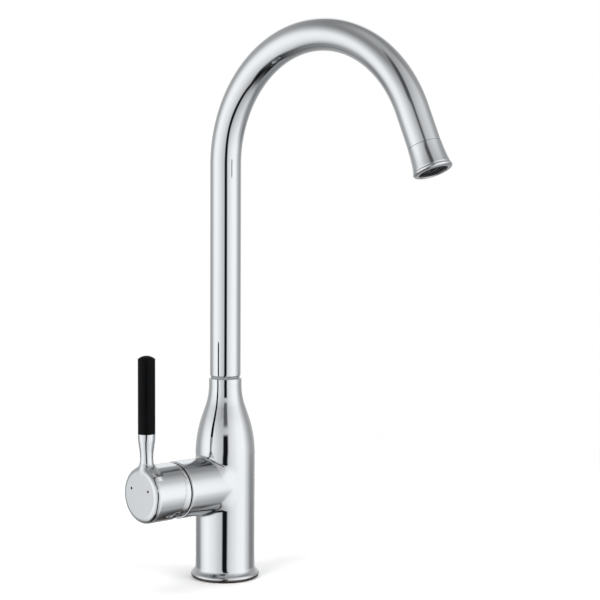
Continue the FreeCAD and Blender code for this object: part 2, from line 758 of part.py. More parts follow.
def make_moving_disc():
    """Ceramic disc with a mixing pocket underneath and two holes for the carrier's pegs."""
    disc = rod(moving_disc_r, moving_disc_u, carrier_u, disc_rest_up, 0)
    pocket = rod(moving_disc_r * mixing_pocket_share, moving_disc_u, moving_disc_u + mixing_pocket_depth,
                 disc_rest_up, 0)
    holes = [rod(peg_r, carrier_u - peg_height, carrier_u, x, y) for x, y in peg_places()]
    save("moving_disc", to_branch(disc.cut([pocket] + holes)))


def make_disc_carrier():
    """Plastic driver on the moving disc, with flats and a pocket for the spindle's ball."""
    disc = rod(moving_disc_r, carrier_u, carrier_end_u, disc_rest_up, 0)
    size = moving_disc_r + abs(disc_rest_up)
    block = bar((-size, size), (-carrier_flat, carrier_flat), (carrier_u, carrier_end_u))
    pegs = [rod(peg_r, carrier_u - peg_height, carrier_u, x, y) for x, y in peg_places()]
    pocket = rod(spindle_ball_r + ball_pocket_gap, carrier_u + pocket_floor, carrier_end_u)
    save("disc_carrier", to_branch(disc.common(block).fuse(pegs).removeSplitter().cut(pocket)))


def make_cartridge_housing():
    solid = turned(
        (housing_bore_r, fixed_disc_u), (cartridge_r, fixed_disc_u),
        (cartridge_r, housing_top_u), (housing_neck_r, housing_top_u),
        (housing_neck_r, housing_end_u), (bearing_r, housing_end_u),
        (bearing_r, housing_ceiling_u), (housing_bore_r, housing_ceiling_u))
    save("cartridge_housing", to_branch(solid))


def make_rotor():
    """Turns with the lever: flange with two lugs that guide the carrier, and a slotted boss."""
    solid = rod(rotor_flange_r, rotor_u, rotor_flange_end_u)
    solid = solid.fuse(rod(rotor_boss_r, rotor_flange_end_u, rotor_end_u))
    for side in (-1, 1):
        edges = sorted((side * lug_low, side * lug_high))
        solid = solid.fuse(bar((-lug_half_length, lug_half_length), edges, (rotor_u - lug_height, rotor_u)))
    slot = bar((-rotor_slot_half_length, rotor_slot_half_length),
               (-rotor_slot_half_width, rotor_slot_half_width), (rotor_u, rotor_end_u))
    save("cartridge_rotor", to_branch(solid.removeSplitter().cut([slot, pivot_pin(pin_r)])))


def pivot_pin(radius):
    pin = Part.makeCylinder(radius, 2 * pin_half_length, point(0, -pin_half_length, 0), point(0, 1, 0))
    pin.translate(point(0, 0, pivot_u))
    return pin


def make_pivot_pin():
    save("pivot_pin", to_branch(pivot_pin(pin_r)))


def make_cartridge_nut():
    solid = ring(housing_neck_r + nut_neck_gap, nut_r, housing_top_u, nut_end_u)
    socket = rod(nut_r - nut_socket_wall, nut_end_u - nut_socket_depth, nut_end_u)
    save("cartridge_nut", to_branch(solid.cut(socket)))


def make_cover_ring():
    """Domed ring round the pivot: the lever's hub slides over it."""
    foot_u = branch_end_u + cover_foot_height
    start_r = math.sqrt(cover_sphere_r ** 2 - (foot_u - pivot_u) ** 2)
    end_u = pivot_u + math.sqrt(cover_sphere_r ** 2 - cover_end_r ** 2)
    start_angle = math.degrees(math.asin((foot_u - pivot_u) / cover_sphere_r))
    end_angle = math.degrees(math.acos(cover_end_r / cover_sphere_r))
    middle = on_circle((0, pivot_u), cover_sphere_r, (start_angle + end_angle) / 2)
    inner_end_u = end_u - cover_wall
    solid = turned(
        (nut_r, branch_end_u), (cover_foot_r, branch_end_u), (cover_foot_r, foot_u),
        (start_r, foot_u), through(middle, (cover_end_r, end_u)),
        (cover_lip_r + cover_lip_edge, end_u), (cover_lip_r, end_u - cover_lip_edge),
        (cover_lip_r, inner_end_u), (nut_r, nut_end_u + cover_nut_gap))
    save("cover_ring", to_branch(solid))


# ---- lever --------------------------------------------------------------------------
def make_spindle():
    ball = Part.makeSphere(spindle_ball_r, point(0, 0, ball_u))
    neck = rod(spindle_neck_r, ball_u, spindle_square_u + spindle_neck_overlap)
    span = (-spindle_half, spindle_half)
    square = bar(span, span, (spindle_square_u, spindle_end_u))
    solid = ball.fuse([neck, square]).cut(pivot_pin(pin_r + pin_gap))
    save("lever_spindle", to_branch(solid))


def hub_shell():
    """Hub with its rounded rim, cut off at a slant behind and hollowed round the dome."""
    rim = (hub_r - hub_rim_r, hub_face_u - hub_rim_r)
    start_u = min(hub_top_u, hub_bottom_u)
    solid = turned(
        (0, start_u), (hub_r, start_u), (hub_r, rim[1]),
        through(on_circle(rim, hub_rim_r, 45), (rim[0], hub_face_u)), (0, hub_face_u))
    return solid.cut([hub_slant(), Part.makeSphere(hub_cavity_sphere_r, point(0, 0, pivot_u)),
                      rod(hub_cavity_r, 0, hub_bottom_u + hub_cavity_margin)])


def hub_slant():
    """The wedge that is cut off behind the hub's slanted rear edge."""
    size = hub_r * 1.2
    slope = (hub_bottom_u - hub_top_u) / (2 * hub_r)
    middle_u = (hub_bottom_u + hub_top_u) / 2
    corners = [
        point(size, -size, 0), point(size, -size, middle_u - slope * size),
        point(-size, -size, middle_u + slope * size), point(-size, -size, 0),
    ]
    return Part.Face(Part.makePolygon(corners + corners[:1])).extrude(point(0, 2 * size, 0))


def stem_stations():
    """(height, half width, half depth) of the stem's sections, from the grip down to the hub."""
    drop = grip_bottom_z - stem_neck_z
    rise = stem_neck_z - stem_foot_z
    waist = stem_top_r - stem_neck_r
    flare = stem_flare - stem_neck_r
    deep = stem_flare_depth - stem_neck_r
    upper = [(0, 0), (0.2, 0.05), (0.5, 0.45), (0.78, 0.88)]
    lower = [(0.65, 0.04, 0.12), (0.42, 0.16, 0.5), (0.2, 0.45, 0.85), (0, 1, 1)]
    stations = []
    for share, drawn_in in upper:
        radius = stem_top_r - waist * drawn_in
        stations.append((grip_bottom_z - drop * share, radius, radius))
    stations.append((stem_neck_z, stem_neck_r, stem_neck_r))
    for share, wide, thick in lower:
        stations.append((stem_foot_z + rise * share, stem_neck_r + flare * wide, stem_neck_r + deep * thick))
    return stations


def stem():
    """Round stem that narrows to a neck and flares into the hub, lofted through ellipses."""
    wires = []
    for z, half_width, half_depth in stem_stations():
        centre = point(-stem_u, 0, z)
        if half_width > half_depth:
            curve = Part.Ellipse(centre + point(0, half_width, 0), centre + point(-half_depth, 0, 0), centre)
        else:
            curve = Part.Circle(centre, point(0, 0, 1), half_width)
            curve.XAxis = point(0, 1, 0)
        wires.append(Part.Wire(curve.toShape()))
    return Part.makeLoft(wires, True)


def screw_hole(radius, low, high):
    """A drilling from the hub's underside towards the spindle; low and high are radii."""
    hole = Part.makeCylinder(radius, high - low, point(-high, 0, screw_u), point(1, 0, 0))
    return to_branch(hole)


def mark(side):
    """A round enamel mark let into the hub's face."""
    return to_branch(rod(mark_r, hub_face_u - mark_depth, hub_face_u, mark_up, side * mark_side))


def make_lever_handle():
    boss = rod(hub_boss_r, hub_boss_u, hub_cavity_end_u + hub_boss_overlap)
    span = (-spindle_half - socket_gap, spindle_half + socket_gap)
    socket = bar(span, span, (hub_boss_u, spindle_end_u + socket_end_gap))
    body = to_branch(hub_shell().fuse(boss).removeSplitter())
    core = rod(core_r, grip_bottom_z - core_overlap, grip_top_z - core_end_gap, -stem_u, 0)
    solid = body.fuse([stem(), core])
    cuts = [to_branch(socket), screw_hole(screw_r, spindle_half, hub_r), mark(-1), mark(1)]
    save("lever_handle", solid.cut(cuts))


def make_grub_screw():
    low = spindle_half + socket_gap
    screw = screw_hole(screw_r, low, low + screw_length)
    socket = screw_hole(screw_socket_r, low + screw_length - screw_socket_depth, low + screw_length)
    save("grub_screw", screw.cut(socket))


def make_grip():
    """Sleeve with a domed top, closed over the stem's core."""
    edge = (stem_top_r - grip_edge_r, grip_top_z - grip_dome - grip_edge_r)
    corner = on_circle(edge, grip_edge_r, 60)
    rise = grip_top_z - corner[1]
    dome_r = (corner[0] ** 2 + rise ** 2) / (2 * rise)
    half_angle = math.degrees(math.asin(corner[0] / dome_r)) / 2
    dome_middle = on_circle((0, grip_top_z - dome_r), dome_r, 90 - half_angle)
    solid = turned(
        (core_r, grip_bottom_z), (stem_top_r, grip_bottom_z), (stem_top_r, edge[1]),
        through(on_circle(edge, grip_edge_r, 30), corner),
        through(dome_middle, (0, grip_top_z)),
        (0, grip_top_z - core_end_gap), (core_r, grip_top_z - core_end_gap))
    solid.translate(point(-stem_u, 0, 0))
    save("lever_grip", solid)


def make_marks():
    save("cold_mark", mark(1))
    save("hot_mark", mark(-1))


os.makedirs("parts", exist_ok=True)
make_body_casting()
make_base_seal()
make_swivel_washer()
make_spout_spigot()
make_bushes()
make_o_rings()
make_snap_ring()
make_waterway_insert()
make_filtered_o_ring()
make_spout_tube()
make_filtered_tube()
make_nozzle()
make_aerator_washer()
make_aerator_housing()
make_aerator_mesh()
make_flow_straightener()
make_filtered_outlet()
make_cartridge_base()
make_port_seals()
make_fixed_disc()
make_moving_disc()
make_disc_carrier()
make_cartridge_housing()
make_rotor()
make_pivot_pin()
make_cartridge_nut()
make_cover_ring()
make_spindle()
make_lever_handle()
make_grub_screw()
make_grip()
make_marks()
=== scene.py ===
import json
import math

import bpy
import numpy as np
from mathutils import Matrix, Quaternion, Vector
from mathutils.geometry import delaunay_2d_cdt


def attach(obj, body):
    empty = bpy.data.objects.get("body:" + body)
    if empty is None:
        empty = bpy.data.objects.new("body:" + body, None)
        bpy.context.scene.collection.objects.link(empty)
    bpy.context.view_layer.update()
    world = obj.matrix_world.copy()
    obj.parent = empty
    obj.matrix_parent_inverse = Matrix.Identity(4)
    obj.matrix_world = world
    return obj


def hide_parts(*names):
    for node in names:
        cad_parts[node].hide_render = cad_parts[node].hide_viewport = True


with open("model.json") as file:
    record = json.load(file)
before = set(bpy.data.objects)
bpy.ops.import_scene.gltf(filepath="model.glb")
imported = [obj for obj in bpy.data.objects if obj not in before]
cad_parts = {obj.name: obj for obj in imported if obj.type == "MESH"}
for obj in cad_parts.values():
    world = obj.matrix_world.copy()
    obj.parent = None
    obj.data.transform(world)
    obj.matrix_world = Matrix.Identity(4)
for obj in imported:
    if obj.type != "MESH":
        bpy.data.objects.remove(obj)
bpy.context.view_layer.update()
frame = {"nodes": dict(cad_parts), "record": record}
nodes = frame["nodes"]

# Sizes are in millimetres. u runs out along the branch from the body's axis, and w runs down
# the spout's end from the end of the bend.
MM = 0.001
BRANCH_Z = 78.0                     # height of the branch's axis
PIVOT_U = 50.3                      # the lever's pivot
REST_TURN = math.radians(5.5)       # the spout's turn at rest
TUBE_R = 12.5
TUBE_BOTTOM = 166.7964
BEND_Z = 338.4964                   # where the riser ends and the bend starts
BEND_R = 99.8
BEND_ANGLE = math.radians(156.3)


# ---- outlines of turned pieces: (radius, height) in millimetres ------------------
def arc(centre, radius, start, end, steps):
    """Points of an arc, the first one left out; angles in degrees."""
    angles = np.radians(np.linspace(start, end, steps + 1))[1:]
    return [(centre[0] + radius * math.cos(a), centre[1] + radius * math.sin(a)) for a in angles]


def rounded(corners, steps=5):
    """An open polyline whose corners (radius, height, rounding) are rounded off."""
    points = []
    for i, (x, y, r) in enumerate(corners):
        if r == 0 or i in (0, len(corners) - 1):
            points.append((x, y))
            continue
        here = np.array((x, y))
        a = np.array(corners[i - 1][:2]) - here
        b = np.array(corners[i + 1][:2]) - here
        a /= np.linalg.norm(a)
        b /= np.linalg.norm(b)
        half = math.acos(max(-1, min(1, float(a @ b)))) / 2
        reach = r / math.tan(half)
        middle = a + b
        centre = here + middle / np.linalg.norm(middle) * (r / math.sin(half))
        start = here + a * reach - centre
        end = here + b * reach - centre
        turn = math.acos(max(-1, min(1, float(start @ end) / r / r)))
        for t in np.linspace(0, 1, steps + 1):
            p = (math.sin((1 - t) * turn) * start + math.sin(t * turn) * end) / math.sin(turn)
            points.append(tuple(centre + p))
    return points


def densified(points, longest):
    """The polyline with long stretches divided."""
    out = [points[0]]
    for a, b in zip(points, points[1:]):
        count = max(1, int(math.ceil(math.dist(a, b) / longest)))
        for k in range(1, count + 1):
            out.append((a[0] + (b[0] - a[0]) * k / count, a[1] + (b[1] - a[1]) * k / count))
    return out


# ---- places ---------------------------------------------------------------------------
def to_branch(p):
    """From a model with u along +Z and up along +X to its place in the branch."""
    return np.stack([-p[:, 2], p[:, 1], p[:, 0] + BRANCH_Z], 1)


def turned_to_rest(p):
    """From a spout in the plane x = 0 to its place at rest."""
    c, s = math.cos(REST_TURN), math.sin(REST_TURN)
    return np.stack([c * p[:, 0] - s * p[:, 1], s * p[:, 0] + c * p[:, 1], p[:, 2]], 1)


def to_nozzle(p):
    """From a model with w along +Z to its place at the end of the bend."""
    c, s = math.cos(BEND_ANGLE), math.sin(BEND_ANGLE)
    q = np.stack([p[:, 0], c * p[:, 1] - s * p[:, 2], s * p[:, 1] + c * p[:, 2]], 1)
    q[:, 1] -= BEND_R * (1 - c)
    q[:, 2] += BEND_Z + BEND_R * s
    return turned_to_rest(q)


def as_is(p):
    """For a model that is already in its place."""
    return p


# ---- meshes ---------------------------------------------------------------------------
def grid_faces(rows, columns):
    """Quads of a grid whose columns run round."""
    faces = []
    for i in range(rows - 1):
        for j in range(columns):
            k = (j + 1) % columns
            a = i * columns
            b = a + columns
            faces.append((a + j, a + k, b + k, b + j))
    return faces


def turned(profile, segments=192, place=as_is):
    """Vertices and faces of the profile turned about its axis; a radius of 0 closes it."""
    angles = np.arange(segments) * 2 * math.pi / segments
    r = np.array([max(p[0], 1e-4) for p in profile])
    z = np.array([p[1] for p in profile])
    x = r[:, None] * np.cos(angles)
    y = r[:, None] * np.sin(angles)
    v = np.stack([x, y, np.repeat(z[:, None], segments, 1)], 2).reshape(-1, 3)
    return place(v), grid_faces(len(profile), segments)


def joined(*parts):
    """Several (vertices, faces) as one."""
    vertices, faces, base = [], [], 0
    for v, f in parts:
        vertices.append(np.asarray(v, float).reshape(-1, 3))
        faces += [tuple(i + base for i in face) for face in f]
        base += len(vertices[-1])
    return np.concatenate(vertices), faces


def piece(name, geometry, body, slot, replaced, normals=None, crease=38.0):
    """A mesh piece that rides on a body and stands for a node of the frame."""
    vertices, faces = geometry
    mesh = bpy.data.meshes.new(name)
    mesh.from_pydata((np.asarray(vertices) * MM).tolist(), [], faces)
    mesh.update()
    mesh.polygons.foreach_set("use_smooth", [True] * len(mesh.polygons))
    if normals is None:
        mesh.set_sharp_from_angle(angle=math.radians(crease))
    else:
        mesh.normals_split_custom_set_from_vertices(np.asarray(normals).tolist())
    obj = bpy.data.objects.new(name, mesh)
    bpy.context.scene.collection.objects.link(obj)
    mesh.materials.append(finishes[slot])
    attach(obj, body)
    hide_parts(*replaced)


# ---- finishes -------------------------------------------------------------------------
PATCH_DETAIL = 4.0
GRAIN_DETAIL = 3.0
GRAIN_STRENGTH = 0.5
TINT_STOPS = (0.35, 0.65)           # stretch of the noise over which the tint changes
GLOSS_STOPS = (0.3, 0.7)            # and over which the roughness does


def finish(name, tints, metallic, rough, patch_scale, grain_scale, grain_depth, specular=0.5,
           painted_shade_in_mirrors=1.0):
    """Procedural surface: soft patches of tint and gloss, and a fine grain in the relief.
    The last argument is painted shade: the colour is multiplied by it where the surface shows in another
    mirror, so it is drawn darker in reflections."""
    material = bpy.data.materials.new(name)
    material.use_nodes = True
    tree = material.node_tree
    shader = tree.nodes["Principled BSDF"]
    shader.inputs["Metallic"].default_value = metallic
    shader.inputs["Specular IOR Level"].default_value = specular
    place = tree.nodes.new("ShaderNodeTexCoord")
    patches = tree.nodes.new("ShaderNodeTexNoise")
    patches.inputs["Scale"].default_value = patch_scale
    patches.inputs["Detail"].default_value = PATCH_DETAIL
    tree.links.new(place.outputs["Object"], patches.inputs["Vector"])
    colours = tree.nodes.new("ShaderNodeValToRGB")
    for element, stop, tint in zip(colours.color_ramp.elements, TINT_STOPS, tints):
        element.position = stop
        element.color = (*tint, 1)
    tree.links.new(patches.outputs["Fac"], colours.inputs["Fac"])
    # Painted shade: glossy rays see this colour multiplied down, so the surface looks darker in other
    # mirrors.
    if painted_shade_in_mirrors == 1.0:
        tree.links.new(colours.outputs["Color"], shader.inputs["Base Color"])
    else:
        rays = tree.nodes.new("ShaderNodeLightPath")
        mirror_shade = tree.nodes.new("ShaderNodeMixRGB")
        mirror_shade.blend_type = "MULTIPLY"
        mirror_shade.inputs["Color2"].default_value = (painted_shade_in_mirrors, painted_shade_in_mirrors, painted_shade_in_mirrors, 1)
        tree.links.new(rays.outputs["Is Glossy Ray"], mirror_shade.inputs["Fac"])
        tree.links.new(colours.outputs["Color"], mirror_shade.inputs["Color1"])
        tree.links.new(mirror_shade.outputs["Color"], shader.inputs["Base Color"])
    gloss = tree.nodes.new("ShaderNodeMapRange")
    gloss.inputs["From Min"].default_value = GLOSS_STOPS[0]
    gloss.inputs["From Max"].default_value = GLOSS_STOPS[1]
    gloss.inputs["To Min"].default_value = rough[0]
    gloss.inputs["To Max"].default_value = rough[1]
    tree.links.new(patches.outputs["Fac"], gloss.inputs["Value"])
    tree.links.new(gloss.outputs["Result"], shader.inputs["Roughness"])
    grain = tree.nodes.new("ShaderNodeTexNoise")
    grain.inputs["Scale"].default_value = grain_scale
    grain.inputs["Detail"].default_value = GRAIN_DETAIL
    tree.links.new(place.outputs["Object"], grain.inputs["Vector"])
    relief = tree.nodes.new("ShaderNodeBump")
    relief.inputs["Strength"].default_value = GRAIN_STRENGTH
    relief.inputs["Distance"].default_value = grain_depth
    tree.links.new(grain.outputs["Fac"], relief.inputs["Height"])
    tree.links.new(relief.outputs["Normal"], shader.inputs["Normal"])
    return material


LOOKS = {
    "chrome": dict(
        tints=((0.89, 0.925, 0.955), (0.92, 0.945, 0.97)), metallic=1.0, rough=(0.012, 0.03),
        # painted shade: the chrome is drawn at half its colour where it shows in another mirror
        patch_scale=18, grain_scale=900, grain_depth=2e-7, painted_shade_in_mirrors=0.5),
    "brass": dict(
        tints=((0.72, 0.55, 0.27), (0.80, 0.64, 0.35)), metallic=1.0, rough=(0.22, 0.36),
        patch_scale=60, grain_scale=1500, grain_depth=4e-6),
    "steel": dict(
        tints=((0.52, 0.52, 0.53), (0.66, 0.66, 0.67)), metallic=1.0, rough=(0.25, 0.38),
        patch_scale=80, grain_scale=1800, grain_depth=4e-6),
    "dark_mesh": dict(
        tints=((0.04, 0.042, 0.046), (0.08, 0.083, 0.09)), metallic=0.6, rough=(0.35, 0.5),
        patch_scale=90, grain_scale=1800, grain_depth=4e-6),
    "rubber": dict(
        tints=((0.022, 0.022, 0.023), (0.036, 0.036, 0.037)), metallic=0.0, rough=(0.6, 0.8),
        patch_scale=70, grain_scale=2500, grain_depth=1e-5, specular=0.35),
    "white_plastic": dict(
        tints=((0.78, 0.78, 0.76), (0.84, 0.84, 0.82)), metallic=0.0, rough=(0.32, 0.45),
        patch_scale=60, grain_scale=2200, grain_depth=5e-6),
    "grey_plastic": dict(
        tints=((0.30, 0.32, 0.34), (0.38, 0.40, 0.42)), metallic=0.0, rough=(0.35, 0.5),
        patch_scale=60, grain_scale=2200, grain_depth=5e-6),
    "black_plastic": dict(
        tints=((0.02, 0.02, 0.024), (0.035, 0.035, 0.04)), metallic=0.0, rough=(0.35, 0.5),
        patch_scale=60, grain_scale=2200, grain_depth=6e-6),
    "ceramic": dict(
        tints=((0.84, 0.82, 0.78), (0.9, 0.88, 0.84)), metallic=0.0, rough=(0.12, 0.2),
        patch_scale=60, grain_scale=2200, grain_depth=2e-6),
    "grip_black": dict(
        tints=((0.001, 0.0011, 0.0014), (0.002, 0.0022, 0.0028)), metallic=0.0,
        rough=(0.32, 0.42), patch_scale=55, grain_scale=2600, grain_depth=5e-6, specular=0.1),
    "cold_blue": dict(
        tints=((0.004, 0.012, 0.035), (0.006, 0.018, 0.05)), metallic=0.0, rough=(0.2, 0.3),
        patch_scale=300, grain_scale=2600, grain_depth=3e-6, specular=0.15),
    "hot_red": dict(
        tints=((0.05, 0.012, 0.007), (0.07, 0.017, 0.01)), metallic=0.0, rough=(0.2, 0.3),
        patch_scale=300, grain_scale=2600, grain_depth=3e-6, specular=0.15),
}
finishes = {name: finish(name, **look) for name, look in LOOKS.items()}
node_slot = {entry["node"]: entry["material_slot"] for entry in frame["record"]["subparts"]}
for name, obj in nodes.items():
    obj.data.materials.clear()
    obj.data.materials.append(finishes[node_slot[name]])


# ---- body casting ------------------------------------------------------------------------
BODY_R = 24.3
BEAD_R = 2.6
BEAD = (25.3, BEAD_R)               # centre of the bead round the foot
HOLLOW_R = 5.0
HOLLOW = (BODY_R + HOLLOW_R, 9.0622)    # centre of the hollow over the bead
RECESS_R = 17.9                     # recess in the underside
RECESS_TOP = 6.0
GROOVE = (19.4, 22.6, 2.1)          # the base seal's: inner radius, outer radius, depth
SHOULDER_Z = 102.0
SHOULDER_R = 98.0
SLOPE = 18.8975                     # lean of the straight between shoulder and neck, degrees
NECK_R = 13.3
NECK_BLEND_R = 52.0
NECK_START = 159.0964
NECK_TOP = 164.5964
MOUTH_R = 10.4                      # bore of the neck, and how far down its wall is drawn
MOUTH_END = 152.0
BRANCH_R = 23.05
BRANCH_END = 52.5
RIM_ROUND = 1.0                     # rounding of the branch's rim
RIM_MIDDLE_R = 19.0
CHAMBER_R = 17.7                    # bore of the branch, and how deep its wall is drawn
CHAMBER_DRAWN = 3.0
ROOT_R = 3.4                        # the fillet's radius at the branch's top and bottom,
ROOT_SOFT = 36.0                    # what it gains at the sides
ROOT_POWER = 8                      # and how closely that keeps to the sides
STRAIGHT_STEP = 3.0                 # longest face along a straight stretch
SLOPE_STEP = 1.5
INLET_R = 4.5
INLET_TOP = 20.0
# (x, y, radius, top) of the cold, hot and filtered inlets and of the stud's hole
TAPPED_HOLES = [
    (-7.1613, 8.9981, INLET_R, INLET_TOP),
    (-7.1613, -8.9981, INLET_R, INLET_TOP),
    (11.5, 0.0, INLET_R, INLET_TOP),
    (0.0, 0.0, 3.4, 26.0),
]
HOLE_TIP = 0.35                     # height of a hole's end cone, as a share of its radius


def body_shell():
    """The bottle from the recess in its underside up to the mouth of its neck."""
    meet = math.degrees(math.atan2(HOLLOW[1] - BEAD[1], HOLLOW[0] - BEAD[0]))
    inner, outer, depth = GROOVE
    points = rounded([
        (RECESS_R, RECESS_TOP, 0), (RECESS_R, 0, 0.3), (inner, 0, 0.1), (inner, depth, 0),
        (outer, depth, 0), (outer, 0, 0.1), (BEAD[0], 0, 0)])
    points += arc(BEAD, BEAD_R, -90, meet, 44)
    points += arc(HOLLOW, HOLLOW_R, meet + 180, 180, 20)
    points += densified([(BODY_R, HOLLOW[1]), (BODY_R, SHOULDER_Z)], STRAIGHT_STEP)[1:]
    points += arc((BODY_R - SHOULDER_R, SHOULDER_Z), SHOULDER_R, 0, SLOPE, 30)
    above = (NECK_R + NECK_BLEND_R, NECK_START)
    straight_end = (above[0] + NECK_BLEND_R * math.cos(math.radians(180 + SLOPE)),
                    above[1] + NECK_BLEND_R * math.sin(math.radians(180 + SLOPE)))
    points += densified([points[-1], straight_end], SLOPE_STEP)[1:]
    points += arc(above, NECK_BLEND_R, 180 + SLOPE, 180, 30)
    points += rounded([
        (NECK_R, NECK_START, 0), (NECK_R, NECK_TOP, 0.35), (MOUTH_R, NECK_TOP, 0.1),
        (MOUTH_R, MOUTH_END, 0)])[1:]
    return turned(points, 224)


def underside():
    """Floor of the recess with the mouths of its four tapped holes, and their walls."""
    rim = 96
    hole = 48
    loops = [[(RECESS_R * math.cos(a), RECESS_R * math.sin(a)) for a in np.arange(rim) * 2 * math.pi / rim]]
    for x, y, r, _ in TAPPED_HOLES:
        angles = -np.arange(hole) * 2 * math.pi / hole
        loops.append([(x + r * math.cos(a), y + r * math.sin(a)) for a in angles])
    points, edges = [], []
    for loop in loops:
        base = len(points)
        points += [Vector(p) for p in loop]
        edges += [(base + i, base + (i + 1) % len(loop)) for i in range(len(loop))]
    found = delaunay_2d_cdt(points, edges, [], 0, 1e-6)
    flat = found[0]
    faces = []
    for f in found[2]:
        middle = sum((flat[i] for i in f), Vector((0, 0))) / len(f)
        clear = all((middle - Vector((x, y))).length > r * 0.999 for x, y, r, _ in TAPPED_HOLES)
        if middle.length < RECESS_R and clear:
            faces.append(tuple(f))
    parts = [(np.array([(p.x, p.y, RECESS_TOP) for p in flat]), faces)]
    for x, y, r, top in TAPPED_HOLES:
        wall = [(r, RECESS_TOP)] + densified([(r, RECESS_TOP), (r, top)], 4.0)[1:]
        v, f = turned(wall + [(0, top + r * HOLE_TIP)], hole)
        parts.append((v + np.array((x, y, 0)), f))
    return joined(*parts)


def branch_shell():
    """The fillet round the branch's root, rolled along both cylinders, and the branch. Its
    radius grows from top and bottom to the sides, where the polished casting flows over."""
    turns = 288
    psi = np.arange(turns) * 2 * math.pi / turns
    root = ROOT_R + ROOT_SOFT * np.sin(psi) ** ROOT_POWER
    side = (BRANCH_R + root) * np.sin(psi)
    up = (BRANCH_R + root) * np.cos(psi)
    out = np.sqrt((BODY_R + root) ** 2 - side ** 2)
    centre = np.stack([-out, side, up + BRANCH_Z], 1)
    to_body = np.stack([out, -side, np.zeros(turns)], 1) / (BODY_R + root)[:, None]
    to_axis = np.stack([np.zeros(turns), -np.sin(psi), -np.cos(psi)], 1)
    rows = []
    span = np.arccos(np.clip((to_body * to_axis).sum(1), -1, 1))
    for t in np.linspace(0, 1, 13):
        a = np.sin((1 - t) * span) / np.sin(span)
        b = np.sin(t * span) / np.sin(span)
        rows.append(centre + root[:, None] * (a[:, None] * to_body + b[:, None] * to_axis))
    foot = rows[-1]
    edge = BRANCH_END - RIM_ROUND
    for t in np.linspace(0, 1, 15)[1:]:
        row = foot.copy()
        row[:, 0] = foot[:, 0] * (1 - t) - edge * t
        rows.append(row)
    rim = arc((BRANCH_R - RIM_ROUND, edge), RIM_ROUND, 0, 90, 8)
    rim += [(RIM_MIDDLE_R, BRANCH_END), (CHAMBER_R, BRANCH_END), (CHAMBER_R, BRANCH_END - CHAMBER_DRAWN)]
    for r, u in rim:
        rows.append(np.stack([np.full(turns, -u), r * np.sin(psi), r * np.cos(psi) + BRANCH_Z], 1))
    faces = [f[::-1] for f in grid_faces(len(rows), turns)]
    return np.concatenate(rows), faces


piece("body_casting_shell", joined(body_shell(), underside(), branch_shell()), "body", "chrome",
      ["body_casting"], crease=40)


# ---- spout ------------------------------------------------------------------------------
SEAM_W = 28.5                       # end of the tube, at the seam
SEAM_R = 11.3                       # how far in the seam's upper face goes
TUBE_BORE_R = 11.5


def washer_ring():
    """The grey ring in the groove between the neck and the spout."""
    bore_r = 10.6
    wide_r = 11.7
    narrow_r = 11.25
    foot = NECK_TOP + 0.01
    top = foot + 2.08
    taper = top - 0.9
    corners = [(bore_r, foot, 0), (wide_r, foot, 0.1), (wide_r, taper, 0.3), (narrow_r, top, 0.1),
               (bore_r, top, 0)]
    return turned(rounded(corners), 128)


def spout_shell():
    """The tube swept up the riser, round the bend and down to the nozzle's seam."""
    around = 128
    theta = np.arange(around) * 2 * math.pi / around
    stations = []
    for r, z in rounded([(TUBE_BORE_R, TUBE_BOTTOM + 3, 0), (TUBE_BORE_R, TUBE_BOTTOM, 0.1),
                         (TUBE_R, TUBE_BOTTOM, 0.3), (TUBE_R, TUBE_BOTTOM + 2, 0)]):
        stations.append((0.0, z - BEND_Z, r))
    for z in np.linspace(TUBE_BOTTOM + 4, BEND_Z, 40):
        stations.append((0.0, z - BEND_Z, TUBE_R))
    for t in np.linspace(0, BEND_ANGLE, 141)[1:]:
        stations.append((t, 0.0, TUBE_R))
    edge_w = 28.2
    for w in np.linspace(0, edge_w, 8)[1:]:
        stations.append((BEND_ANGLE, w, TUBE_R))
    for r, w in rounded([(TUBE_R, edge_w, 0), (TUBE_R, SEAM_W, 0.15), (SEAM_R, SEAM_W, 0)])[1:]:
        stations.append((BEND_ANGLE, w, r))
    rows = []
    for t, along, r in stations:
        radial = np.array((0, -1.0, 0)) * math.cos(t) + np.array((0, 0, -1.0)) * math.sin(t)
        forward = np.array((0, 0, 1.0)) * math.cos(t) + np.array((0, -1.0, 0)) * math.sin(t)
        middle = np.array((0, -BEND_R, BEND_Z)) - BEND_R * radial + along * forward
        row = middle + r * (np.cos(theta)[:, None] * np.array((1.0, 0, 0)) + np.sin(theta)[:, None] * -radial)
        rows.append(row)
    return turned_to_rest(np.concatenate(rows)), grid_faces(len(rows), around)


def nozzle_shell():
    """Flared end piece: bevelled top, hollow flare, rolled lip and the mouth."""
    top = 28.63
    end = 49.75
    lip_top = end - 3.6
    flare_top = top + 0.2
    flare_r = 12.7
    flare_gain = 1.6
    flare_hollow = 0.35
    lip_r = 12.93
    lip_wide = 2.05
    lip_high = 1.72
    lip_from = -62
    lip_sweep = 146
    mouth_r = 11.0
    points = [(11.2, top - 0.02), (12.45, top)]
    for t in np.linspace(0, 1, 31):
        bow = 4 * t * (1 - t) * flare_hollow
        points.append((flare_r + flare_gain * t - bow, flare_top + (lip_top - flare_top) * t))
    for a in np.linspace(0, 1, 25)[1:]:
        angle = math.radians(lip_from + a * lip_sweep)
        points.append((lip_r + lip_wide * math.cos(angle), end - lip_high + lip_high * math.sin(angle)))
    points += rounded([(12.6, end, 0), (mouth_r + 0.35, end, 0.25), (mouth_r, end - 0.4, 0.15),
                       (mouth_r, end - 6, 0)])[1:]
    return turned(points, 160, to_nozzle)


piece("swivel_washer_ring", washer_ring(), "body", "grey_plastic", ["swivel_washer"])
piece("spout_tube_shell", spout_shell(), "spout", "chrome", ["spout_tube"])
piece("nozzle_shell", nozzle_shell(), "spout", "chrome", ["nozzle"])


# ---- cover ring and grip -------------------------------------------------------------------
STEM_U = 81.0
STEM_R = 6.85
GRIP_FOOT = 126.3
GRIP_TOP = 188.5


